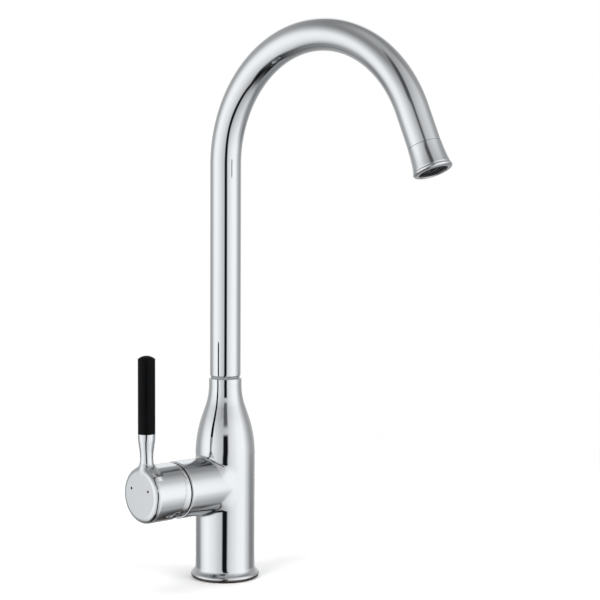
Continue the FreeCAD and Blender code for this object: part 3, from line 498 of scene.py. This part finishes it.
def cover_shell():
    """Domed ring: a narrow foot on the branch, a fine step, the dome and its rounded lip."""
    foot = 53.2
    foot_r = 20.35
    dome_r = 22.05
    lip_r = 17.95
    bore_r = 16.25
    start = math.degrees(math.asin((foot - PIVOT_U) / dome_r))
    end = math.degrees(math.acos(lip_r / dome_r))
    points = rounded([(18.2, BRANCH_END, 0), (foot_r, BRANCH_END, 0.05), (foot_r, foot, 0.1),
                      (21.1, foot, 0)])
    points += [(dome_r * math.cos(math.radians(start + 0.6)) - 0.12, foot + 0.02)]
    points += arc((0, PIVOT_U), dome_r, start + 0.5, end - 0.6, 28)
    top = PIVOT_U + math.sqrt(dome_r ** 2 - lip_r ** 2)
    points += rounded([(lip_r + 0.1, top - 0.08, 0), (lip_r - 0.1, top, 0.05), (bore_r, top, 0.3),
                       (bore_r - 0.1, top - 1.7, 0), (17.5, 57.5, 0)])
    return turned(points, 192, to_branch)


def grip_shell():
    """Sleeve with a rounded foot, and a low dome over a rounded edge."""
    corner = 0.6
    dome_high = 2.3
    plain_z = 130.0
    edge = (STEM_R - corner, GRIP_TOP - dome_high - corner)
    bend = arc(edge, corner, 0, 60, 8)
    rise = GRIP_TOP - bend[-1][1]
    dome_r = (bend[-1][0] ** 2 + rise ** 2) / (2 * rise)
    reach = math.degrees(math.asin(bend[-1][0] / dome_r))
    points = rounded([(3.6, GRIP_FOOT, 0), (STEM_R, GRIP_FOOT, 0.25), (STEM_R, plain_z, 0)])
    points += densified([(STEM_R, plain_z), (STEM_R, edge[1])], STRAIGHT_STEP)[1:]
    points += bend + arc((0, GRIP_TOP - dome_r), dome_r, 90 - reach, 90, 20)
    v, f = turned(points, 96)
    return v + np.array((-STEM_U, 0, 0)), f


piece("cover_ring_dome", cover_shell(), "body", "chrome", ["cover_ring"])
piece("grip_sleeve", grip_shell(), "lever", "grip_black", ["lever_grip"])


# ---- lever handle: hub and stem as one blended solid -----------------------------------------
HUB_R = 22.75
HUB_FACE = 87.94
HUB_RIM = 5.0                       # rounding between the hub's side and its face
HUB_REAR = 59.25                    # the rear plane's place at the axis, and how much nearer
REAR_LEAN = 0.12088                 # to the body it lies for each millimetre up
REAR_NORM = 1.00728                 # length of that plane's normal
REAR_ROUND = 0.5
STEM_Z = np.array([94.5, 96.55, 98.8, 101.275, 103.8625, 107.8, 111.87, 117.05, 122.6, 126.3, 127.5])
STEM_WIDE = np.array([17.0, 13.0, 8.71, 6.448, 5.512, 5.2, 5.398, 6.1075, 6.7675, STEM_R, STEM_R])
STEM_DEEP = np.array([STEM_R, 6.75, 6.52, 6.05, 5.404, 5.2, 5.398, 6.1075, 6.7675, STEM_R, STEM_R])
STEM_ENDS = (93.5, 126.7)
BLEND = (0.4, 2.6)                  # least and greatest softness where stem and hub meet
BLEND_FALL = 0.45                   # how fast it falls beyond BLEND_U, towards the face
BLEND_U = 83.0
BALL_R = 22.55                      # the hub's hollow: a ball round the pivot inside a bore
BORE_R = 21.35
BORE_END = 64.0
HOLLOW_ROUND = 0.3
BOSS_R = 7.5                        # the boss that takes the spindle
BOSS_ENDS = (60.0, 74.0)
SQUARE = 4.05                       # half the width of the spindle's square hole
SQUARE_END = 80.0
SCREW_U = 76.05                     # the grub screw's hole
SCREW_R = 2.4
SCREW_ENDS = (-24.0, -4.0)


def smooth_curve(x, xs, ys):
    """A curve through the stations, without overshoot (monotone cubic pieces)."""
    steps = np.diff(xs)
    slopes = np.diff(ys) / steps
    tangents = np.zeros(len(xs))
    for i in range(1, len(xs) - 1):
        if slopes[i - 1] * slopes[i] > 0:
            tangents[i] = 2 * slopes[i - 1] * slopes[i] / (slopes[i - 1] + slopes[i])
    tangents[0] = slopes[0]
    tangents[-1] = slopes[-1]
    k = np.clip(np.searchsorted(xs, x) - 1, 0, len(xs) - 2)
    t = np.clip((x - xs[k]) / steps[k], 0, 1)
    h00 = (1 + 2 * t) * (1 - t) ** 2
    h10 = t * (1 - t) ** 2
    h01 = t * t * (3 - 2 * t)
    h11 = t * t * (t - 1)
    return h00 * ys[k] + h10 * steps[k] * tangents[k] + h01 * ys[k + 1] + h11 * steps[k] * tangents[k + 1]


def blended(a, b, width):
    """Union of two distance fields with a soft hollow between them."""
    h = np.clip(0.5 + 0.5 * (b - a) / width, 0, 1)
    return b + (a - b) * h - width * h * (1 - h)


def edge_rounded(a, b, radius):
    """Common part of two distance fields with its edge rounded."""
    u = np.maximum(a + radius, 0)
    v = np.maximum(b + radius, 0)
    return np.minimum(-radius, np.maximum(a, b)) + np.hypot(u, v)


def handle_field(x, y, z):
    """Distance field of the handle: below 0 inside the metal."""
    u = -x
    up = z - BRANCH_Z
    r = np.hypot(up, y)
    a = r - (HUB_R - HUB_RIM)
    b = u - (HUB_FACE - HUB_RIM)
    hub = np.hypot(np.maximum(a, 0), np.maximum(b, 0)) + np.minimum(np.maximum(a, b), 0) - HUB_RIM
    rear = (HUB_REAR - REAR_LEAN * up - u) / REAR_NORM
    hub = edge_rounded(hub, rear, REAR_ROUND)
    wide = smooth_curve(z, STEM_Z, STEM_WIDE)
    deep = smooth_curve(z, STEM_Z, STEM_DEEP)
    k0 = np.hypot((u - STEM_U) / deep, y / wide)
    k1 = np.hypot((u - STEM_U) / deep ** 2, y / wide ** 2)
    stem = k0 * (k0 - 1) / np.maximum(k1, 1e-6)
    stem = np.maximum(stem, np.maximum(STEM_ENDS[0] - z, z - STEM_ENDS[1]))
    soft = np.clip(BLEND[1] - BLEND_FALL * np.maximum(u - BLEND_U, 0), *BLEND)
    solid = blended(stem, hub, soft)
    ball = np.sqrt(r ** 2 + (u - PIVOT_U) ** 2) - BALL_R
    hollow = np.minimum(ball, np.maximum(r - BORE_R, u - BORE_END))
    solid = edge_rounded(solid, -hollow, HOLLOW_ROUND)
    boss = np.maximum(r - BOSS_R, np.maximum(BOSS_ENDS[0] - u, u - BOSS_ENDS[1]))
    solid = np.minimum(solid, boss)
    socket = np.maximum(np.maximum(np.abs(y), np.abs(up)) - SQUARE, u - SQUARE_END)
    along = np.maximum(up - SCREW_ENDS[1], SCREW_ENDS[0] - up)
    screw = np.maximum(np.hypot(u - SCREW_U, y) - SCREW_R, along)
    return np.maximum(np.maximum(solid, -socket), -screw)


SETTLE_STEPS = 5                    # times that the net is drawn onto the surface


def surface_net(field, low, high, step):
    """Quads along the zero surface of a field, drawn onto it exactly, and its normals."""
    axes = [np.arange(a, b + step, step) for a, b in zip(low, high)]
    gx, gy, gz = np.meshgrid(*axes, indexing="ij")
    value = field(gx, gy, gz)
    inside = value < 0
    shape = np.array(value.shape) - 1
    total = np.zeros((*shape, 3))
    count = np.zeros(shape)
    for axis in range(3):
        one = [slice(None)] * 3
        two = [slice(None)] * 3
        one[axis] = slice(0, -1)
        two[axis] = slice(1, None)
        va, vb = value[tuple(one)], value[tuple(two)]
        crossed = (va < 0) != (vb < 0)
        t = np.where(crossed, va / np.where(crossed, va - vb, 1), 0)
        others = [k for k in range(3) if k != axis]
        for da in (0, 1):
            for db in (0, 1):
                cut = [slice(None)] * 3
                cut[others[0]] = slice(da, da + shape[others[0]])
                cut[others[1]] = slice(db, db + shape[others[1]])
                c = crossed[tuple(cut)]
                tt = t[tuple(cut)]
                spot = np.zeros((*shape, 3))
                spot[..., axis] = tt
                spot[..., others[0]] = da
                spot[..., others[1]] = db
                total += spot * c[..., None]
                count += c
    live = count > 0
    index = -np.ones(shape, int)
    index[live] = np.arange(live.sum())
    cell = np.argwhere(live)
    points = (cell + total[live] / count[live][:, None]) * step + np.array([a[0] for a in axes])
    quads = []
    for axis in range(3):
        others = [k for k in range(3) if k != axis]
        one = [slice(1, -1)] * 3
        two = [slice(1, -1)] * 3
        one[axis] = slice(0, -1)
        two[axis] = slice(1, None)
        a_in, b_in = inside[tuple(one)], inside[tuple(two)]
        place = np.argwhere(a_in != b_in)
        flip = a_in[tuple(place.T)]
        base = place.copy()
        base[:, others[0]] += 1
        base[:, others[1]] += 1
        ring = []
        for da, db in ((0, 0), (1, 0), (1, 1), (0, 1)):
            k = base.copy()
            k[:, others[0]] -= 1 - da
            k[:, others[1]] -= 1 - db
            ring.append(index[tuple(k.T)])
        quad = np.stack(ring, 1)
        if axis == 1:
            flip = ~flip
        quad[~flip] = quad[~flip][:, ::-1]
        quads.append(quad)
    quads = np.concatenate(quads)
    for _ in range(SETTLE_STEPS):
        slope = gradient(field, points)
        f = field(points[:, 0], points[:, 1], points[:, 2])
        size = np.maximum((slope ** 2).sum(1), 0.05)
        points = points - np.clip(f / size, -step, step)[:, None] * slope
    slope = gradient(field, points)
    slope /= np.maximum(np.linalg.norm(slope, axis=1), 1e-9)[:, None]
    return points, [tuple(q) for q in quads.tolist()], slope


def gradient(field, p, reach=0.02):
    """Slope of the field at the points."""
    out = np.zeros_like(p)
    for axis in range(3):
        step = np.zeros(3)
        step[axis] = reach
        a, b = p + step, p - step
        out[:, axis] = (field(a[:, 0], a[:, 1], a[:, 2]) - field(b[:, 0], b[:, 1], b[:, 2])) / (2 * reach)
    return out


HANDLE_LOW = (-88.6, -23.4, 54.6)   # corners of the box round the handle
HANDLE_HIGH = (-56.0, 23.4, 127.2)
NET_STEP = 0.45
handle = surface_net(handle_field, HANDLE_LOW, HANDLE_HIGH, NET_STEP)
piece("handle_hub_and_stem", handle[:2], "lever", "chrome", ["lever_handle"], normals=handle[2])


# ---- camera -------------------------------------------------------------------------------
# It looks along a level line turned PHI from +X, PITCH down from it, ASIDE to its left.
PHI = 0.824631
DISTANCE = 1343.91
HEIGHT = 328.70
PITCH = 0.074148
ROLL = 0.005038
ASIDE = -60.922
FOCAL = 1649.26                     # pixels, in a picture FRAME pixels wide
FRAME = 600.0
SENSOR = 36.0

right = np.array((math.sin(PHI), -math.cos(PHI), 0.0))
forward = np.array((math.cos(PHI), math.sin(PHI), 0.0))
place = -ASIDE * right - DISTANCE * forward + np.array((0, 0, HEIGHT))
camera_data = bpy.data.cameras.new("camera")
camera_data.sensor_width = SENSOR
camera_data.lens = SENSOR * FOCAL / FRAME
camera_data.clip_start = 0.01
camera_data.clip_end = 50.0
camera = bpy.data.objects.new("camera", camera_data)
camera.location = Vector(place * MM)
look = forward * math.cos(PITCH) + np.array((0, 0, -math.sin(PITCH)))
aim = Vector(look).to_track_quat("-Z", "Y") @ Quaternion((0, 0, 1), ROLL)
camera.rotation_euler = aim.to_euler()
bpy.context.scene.collection.objects.link(camera)
bpy.context.scene.camera = camera


# ---- studio ---------------------------------------------------------------------------------
def ramp(tree, stops):
    """A ramp of greys or colours; stops are (place, value)."""
    node = tree.nodes.new("ShaderNodeValToRGB")
    elements = node.color_ramp.elements
    while len(elements) < len(stops):
        elements.new(0.5)
    for element, (position, _) in zip(elements, stops):
        element.position = position
    for element, (_, value) in zip(elements, stops):
        colour = value if isinstance(value, tuple) else (value, value, value)
        element.color = (*colour, 1)
    return node


def turn_stop(degrees):
    """A turn's place on a ramp."""
    return (degrees + 180.0) / 360.0


def tilt_stop(degrees):
    """A tilt's place on a ramp."""
    return (degrees + 90.0) / 180.0


# The room as the chrome sees it. Turns are degrees to the right of the line from the tap to
# the camera, tilts are degrees above the horizon, and values are brightness.
WALLS = [
    (-180, 0.56), (-150, 0.48), (-138, 0.40), (-125, 0.37), (-114, 0.42), (-103, 0.64),
    (-92, 0.86), (-80, 0.94), (-70, 0.97), (-55, 0.88), (-40, 0.80), (-25, 0.66), (-12, 0.56),
    (0, 0.56), (12, 0.58), (25, 0.74), (40, 0.85), (55, 0.95), (80, 0.97), (92, 0.76),
    (104, 0.54), (116, 0.38), (128, 0.32), (145, 0.38), (160, 0.50), (180, 0.6)]
# How much of the walls is left at each tilt, and what there is where they end.
LEFT_WALL = [
    (-90, 0.0), (-66, 0.05), (-58, 0.58), (-45, 0.72), (-30, 0.86), (-15, 0.97), (0, 1.0),
    (9, 0.92), (18, 0.72), (27, 0.42), (36, 0.2), (48, 0.0), (90, 0.0)]
RIGHT_WALL = [
    (-90, 0.0), (-76, 0.1), (-64, 0.45), (-55, 0.56), (-42, 0.68), (-28, 0.84), (-14, 0.96),
    (0, 1.0), (15, 0.97), (24, 0.86), (34, 0.56), (48, 0.46), (60, 0.38), (72, 0.12),
    (84, 0.0), (90, 0.0)]
BACK_WALL = [
    (-90, 0.0), (-56, 0.0), (-34, 0.2), (-16, 0.5), (0, 1.0), (16, 0.9), (34, 0.3), (50, 0.0),
    (90, 0.0)]
SURROUND = [
    (-90, 0.012), (-74, 0.016), (-66, 0.09), (-56, 0.15), (-45, 0.18), (-30, 0.26),
    (-10, 0.34), (12, 0.38), (34, 0.33), (46, 0.27), (58, 0.23), (68, 0.28), (80, 0.37),
    (90, 0.38)]
# Soft patches. An edge pair is (from, to) in degrees; a band is (low edge, its softness,
# high edge, its softness).
SIDES_MEET = (-6, 12)               # turns over which the left wall gives way to the right
FRONT_ENDS = (100, 125)             # turns over which the back wall takes over
BACKDROP_TURN = (158, 174)
BACKDROP_TILT = (4, 6, 38, 5)
BACKDROP = (0.86, 0.86, 0.86)
CEILING_TURN = (-22, 7, 4, 6)
CEILING_TILT = (31, 4, 70, 13)
CEILING = (0.05, 0.05, 0.053)
CEILING_SHARE = 0.88
LEAN_TILT = (-30, -2)               # the dark gap leans from -7 to 3.5 degrees of turn
LEAN_TURN = (-7.0, 3.5)
GAP_TURN = (-9, 3.5, 10.5, 3.5)
GAP_TILT = (-64, 6, 13, 2)
HIGH_GAP_TILT = (21, 3, 34, 5)
HIGH_GAP_SHARE = 0.78
TABLE_TURN = (-48, 14, 12, 6)
TABLE_TILT = (-80, 4, -60, 4)
TABLE_SHARE = 0.92
DARK = (0.006, 0.0065, 0.008)       # of the gap and the table
LOW_RIGHT_START = (70, 100)
LOW_RIGHT_END = (120, 145)
LOW_RIGHT_TILT = (-46, 8, -17, 8)
LOW_RIGHT = (0.19, 0.195, 0.2)
LOW_BACK_TURN = (112, 8, 143, 6)
LOW_BACK_TILT = (-20, 4, -10, 3)
LOW_BACK = (0.1, 0.1, 0.11)
LOW_SHARE = 0.45
FLOOR_BACK_TURN = (98, 118)
FLOOR_BACK_TILT = (-72, 5, -50, 8)
FLOOR_BACK = (0.25, 0.26, 0.27)


def studio_world():
    """Bright walls left and right of the camera, a dark gap between them, a grey ceiling and
    a dark table; the camera itself sees plain white."""
    world = bpy.data.worlds.new("studio")
    bpy.context.scene.world = world
    world.use_nodes = True
    tree = world.node_tree
    tree.nodes.clear()

    def calc(operation, *values):
        node = tree.nodes.new("ShaderNodeMath")
        node.operation = operation
        for socket, value in zip(node.inputs, values):
            if isinstance(value, (int, float)):
                socket.default_value = value
            else:
                tree.links.new(value, socket)
        return node.outputs[0]

    def spread(value, low, high, out_low=0.0, out_high=1.0, soft=False):
        node = tree.nodes.new("ShaderNodeMapRange")
        node.interpolation_type = "SMOOTHSTEP" if soft else "LINEAR"
        limits = {"From Min": low, "From Max": high, "To Min": out_low, "To Max": out_high}
        for socket, number in limits.items():
            node.inputs[socket].default_value = number
        tree.links.new(value, node.inputs["Value"])
        return node.outputs["Result"]

    def band(value, low, low_soft, high, high_soft):
        rise = spread(value, low - low_soft, low + low_soft, soft=True)
        fall = spread(value, high - high_soft, high + high_soft, 1.0, 0.0, soft=True)
        return calc("MULTIPLY", rise, fall)

    def shade(value, stops, stop):
        node = ramp(tree, [(stop(a), v) for a, v in stops])
        tree.links.new(value, node.inputs["Fac"])
        return node.outputs["Color"]

    def mixed(factor, one, two):
        node = tree.nodes.new("ShaderNodeMixRGB")
        tree.links.new(factor, node.inputs["Fac"])
        for socket, value in ((node.inputs["Color1"], one), (node.inputs["Color2"], two)):
            if isinstance(value, tuple):
                socket.default_value = (*value, 1)
            else:
                tree.links.new(value, socket)
        return node.outputs["Color"]

    place = tree.nodes.new("ShaderNodeTexCoord")
    aim = tree.nodes.new("ShaderNodeMapping")
    aim.vector_type = "POINT"
    aim.inputs["Rotation"].default_value = (0, 0, -(PHI + math.pi))
    tree.links.new(place.outputs["Generated"], aim.inputs["Vector"])
    parts = tree.nodes.new("ShaderNodeSeparateXYZ")
    tree.links.new(aim.outputs["Vector"], parts.inputs["Vector"])
    turn = calc("DEGREES", calc("ARCTAN2", parts.outputs["Y"], parts.outputs["X"]))
    tilt = calc("DEGREES", calc("ARCSINE", parts.outputs["Z"]))
    turn_share = spread(turn, -180, 180)
    tilt_share = spread(tilt, -90, 90)
    away = calc("ABSOLUTE", turn)

    walls = shade(turn_share, WALLS, turn_stop)
    left = shade(tilt_share, LEFT_WALL, tilt_stop)
    right_side = shade(tilt_share, RIGHT_WALL, tilt_stop)
    side = spread(turn, *SIDES_MEET, soft=True)
    front = spread(away, *FRONT_ENDS, 1.0, 0.0, soft=True)
    height = mixed(side, left, right_side)
    height = mixed(front, shade(tilt_share, BACK_WALL, tilt_stop), height)
    room = mixed(height, shade(tilt_share, SURROUND, tilt_stop), walls)

    backdrop = calc("MULTIPLY", spread(away, *BACKDROP_TURN, soft=True), band(tilt, *BACKDROP_TILT))
    room = mixed(backdrop, room, BACKDROP)
    ceiling_gap = calc("MULTIPLY", band(turn, *CEILING_TURN), band(tilt, *CEILING_TILT))
    room = mixed(calc("MULTIPLY", ceiling_gap, CEILING_SHARE), room, CEILING)
    lean = spread(tilt, *LEAN_TILT, *LEAN_TURN, soft=True)
    gap = band(calc("SUBTRACT", turn, lean), *GAP_TURN)
    high_gap = calc("MULTIPLY", band(tilt, *HIGH_GAP_TILT), HIGH_GAP_SHARE)
    gap_height = calc("MAXIMUM", band(tilt, *GAP_TILT), high_gap)
    room = mixed(calc("MULTIPLY", gap, gap_height), room, DARK)
    table = calc("MULTIPLY", band(turn, *TABLE_TURN), band(tilt, *TABLE_TILT))
    room = mixed(calc("MULTIPLY", table, TABLE_SHARE), room, DARK)
    low_right = calc("MULTIPLY", spread(turn, *LOW_RIGHT_START, soft=True), band(tilt, *LOW_RIGHT_TILT))
    low_right = calc("MULTIPLY", low_right, spread(turn, *LOW_RIGHT_END, 1.0, 0.0, soft=True))
    room = mixed(calc("MULTIPLY", low_right, LOW_SHARE), room, LOW_RIGHT)
    low_back = calc("MULTIPLY", band(away, *LOW_BACK_TURN), band(tilt, *LOW_BACK_TILT))
    room = mixed(calc("MULTIPLY", low_back, LOW_SHARE), room, LOW_BACK)
    floor_back = calc("MULTIPLY", spread(turn, *FLOOR_BACK_TURN, soft=True), band(tilt, *FLOOR_BACK_TILT))
    room = mixed(floor_back, room, FLOOR_BACK)

    seen = tree.nodes.new("ShaderNodeBackground")
    tree.links.new(room, seen.inputs["Color"])
    plain = tree.nodes.new("ShaderNodeBackground")
    plain.inputs["Color"].default_value = (1, 1, 1, 1)
    rays = tree.nodes.new("ShaderNodeLightPath")
    choice = tree.nodes.new("ShaderNodeMixShader")
    tree.links.new(rays.outputs["Is Camera Ray"], choice.inputs["Fac"])
    tree.links.new(seen.outputs[0], choice.inputs[1])
    tree.links.new(plain.outputs[0], choice.inputs[2])
    result = tree.nodes.new("ShaderNodeOutputWorld")
    tree.links.new(choice.outputs[0], result.inputs["Surface"])


studio_world()


# name, place, target, side (metres), power (watts)
SOFTBOXES = [
    ("softbox_left", (-1.6, -0.2, 1.3), (0, 0, 0.1), 1.2, 22),
    ("softbox_right", (0.5, -1.6, 1.3), (0, 0, 0.1), 1.2, 16),
    ("softbox_top", (0.1, 0.2, 1.9), (0, 0, 0), 1.6, 18),
]


def softbox(name, place, target, side, power):
    """A square soft lamp that doesn't show in the chrome."""
    light = bpy.data.lights.new(name, "AREA")
    light.shape = "RECTANGLE"
    light.size = side
    light.size_y = side
    light.energy = power
    obj = bpy.data.objects.new(name, light)
    obj.location = place
    obj.rotation_euler = (Vector(target) - Vector(place)).to_track_quat("-Z", "Y").to_euler()
    obj.visible_glossy = False
    bpy.context.scene.collection.objects.link(obj)


for box in SOFTBOXES:
    softbox(*box)


def bare_material(name):
    """A material without nodes, and its tree."""
    material = bpy.data.materials.new(name)
    material.use_nodes = True
    material.node_tree.nodes.clear()
    return material, material.node_tree


def fading_out(tree, surface, near, far):
    """Shows the surface, which turns clear from near to far from the object's origin."""
    place = tree.nodes.new("ShaderNodeTexCoord")
    reach = tree.nodes.new("ShaderNodeVectorMath")
    reach.operation = "LENGTH"
    tree.links.new(place.outputs["Object"], reach.inputs[0])
    fade = tree.nodes.new("ShaderNodeMapRange")
    fade.interpolation_type = "SMOOTHSTEP"
    fade.inputs["From Min"].default_value = near
    fade.inputs["From Max"].default_value = far
    tree.links.new(reach.outputs["Value"], fade.inputs["Value"])
    clear = tree.nodes.new("ShaderNodeBsdfTransparent")
    edge = tree.nodes.new("ShaderNodeMixShader")
    tree.links.new(fade.outputs["Result"], edge.inputs["Fac"])
    tree.links.new(surface.outputs[0], edge.inputs[1])
    tree.links.new(clear.outputs[0], edge.inputs[2])
    result = tree.nodes.new("ShaderNodeOutputMaterial")
    tree.links.new(edge.outputs[0], result.inputs["Surface"])


# Sizes of the floor and of both fades are in metres.
FLOOR_REACH = 12.0                  # half its side
FLOOR_LINES = 25
FLOOR_Z = -0.0002
FLOOR_FADE = (0.25, 0.9)
FLOOR_TINTS = [(0.3, (0.93, 0.93, 0.93)), (0.7, (0.95, 0.95, 0.95))]
# Painted shade: a dark glowing disc under the foot, seen only in the chrome's reflections.
SHADE_DISC_R = 0.042
SHADE_DISC_FADE = (0.5 * SHADE_DISC_R, 1.4 * SHADE_DISC_R)
SHADE_DISC_Z = -0.0004
SHADE_DISC_GLOW = (0.03, 0.021, 0.016, 1)


def studio_floor():
    """A pale floor that keeps a faint shadow."""
    line = np.linspace(-FLOOR_REACH, FLOOR_REACH, FLOOR_LINES)
    vertices = [(x, y, FLOOR_Z) for y in line for x in line]
    faces = []
    for j in range(FLOOR_LINES - 1):
        for i in range(FLOOR_LINES - 1):
            a = j * FLOOR_LINES + i
            faces.append((a, a + 1, a + FLOOR_LINES + 1, a + FLOOR_LINES))
    mesh = bpy.data.meshes.new("floor")
    mesh.from_pydata(vertices, [], faces)
    material, tree = bare_material("floor")
    place = tree.nodes.new("ShaderNodeTexCoord")
    speckle = tree.nodes.new("ShaderNodeTexNoise")
    speckle.inputs["Scale"].default_value = 6.0
    tree.links.new(place.outputs["Object"], speckle.inputs["Vector"])
    tint = ramp(tree, FLOOR_TINTS)
    tree.links.new(speckle.outputs["Fac"], tint.inputs["Fac"])
    paint = tree.nodes.new("ShaderNodeBsdfDiffuse")
    tree.links.new(tint.outputs["Color"], paint.inputs["Color"])
    fading_out(tree, paint, *FLOOR_FADE)
    mesh.materials.append(material)
    obj = bpy.data.objects.new("floor", mesh)
    bpy.context.scene.collection.objects.link(obj)
    obj.visible_glossy = False


def add_painted_shade_disc():
    """Painted shade: a dark glowing disc under the foot, which shows in the chrome only, in place of a shaded
    floor there.
    """
    rings = [(r, 0.0) for r in np.linspace(0, SHADE_DISC_FADE[1] / MM, 14)]
    vertices, faces = turned(rings[::-1], 64)
    mesh = bpy.data.meshes.new("painted_shade_disc")
    mesh.from_pydata((vertices * MM + np.array((0, 0, SHADE_DISC_Z))).tolist(), [], faces)
    material, tree = bare_material("painted_shade_disc")
    dark = tree.nodes.new("ShaderNodeEmission")
    dark.inputs["Color"].default_value = SHADE_DISC_GLOW
    fading_out(tree, dark, *SHADE_DISC_FADE)
    mesh.materials.append(material)
    obj = bpy.data.objects.new("painted_shade_disc", mesh)
    bpy.context.scene.collection.objects.link(obj)
    obj.visible_camera = False
    obj.visible_diffuse = False
    obj.visible_shadow = False


studio_floor()
add_painted_shade_disc()
bpy.context.scene.view_settings.view_transform = "Standard"
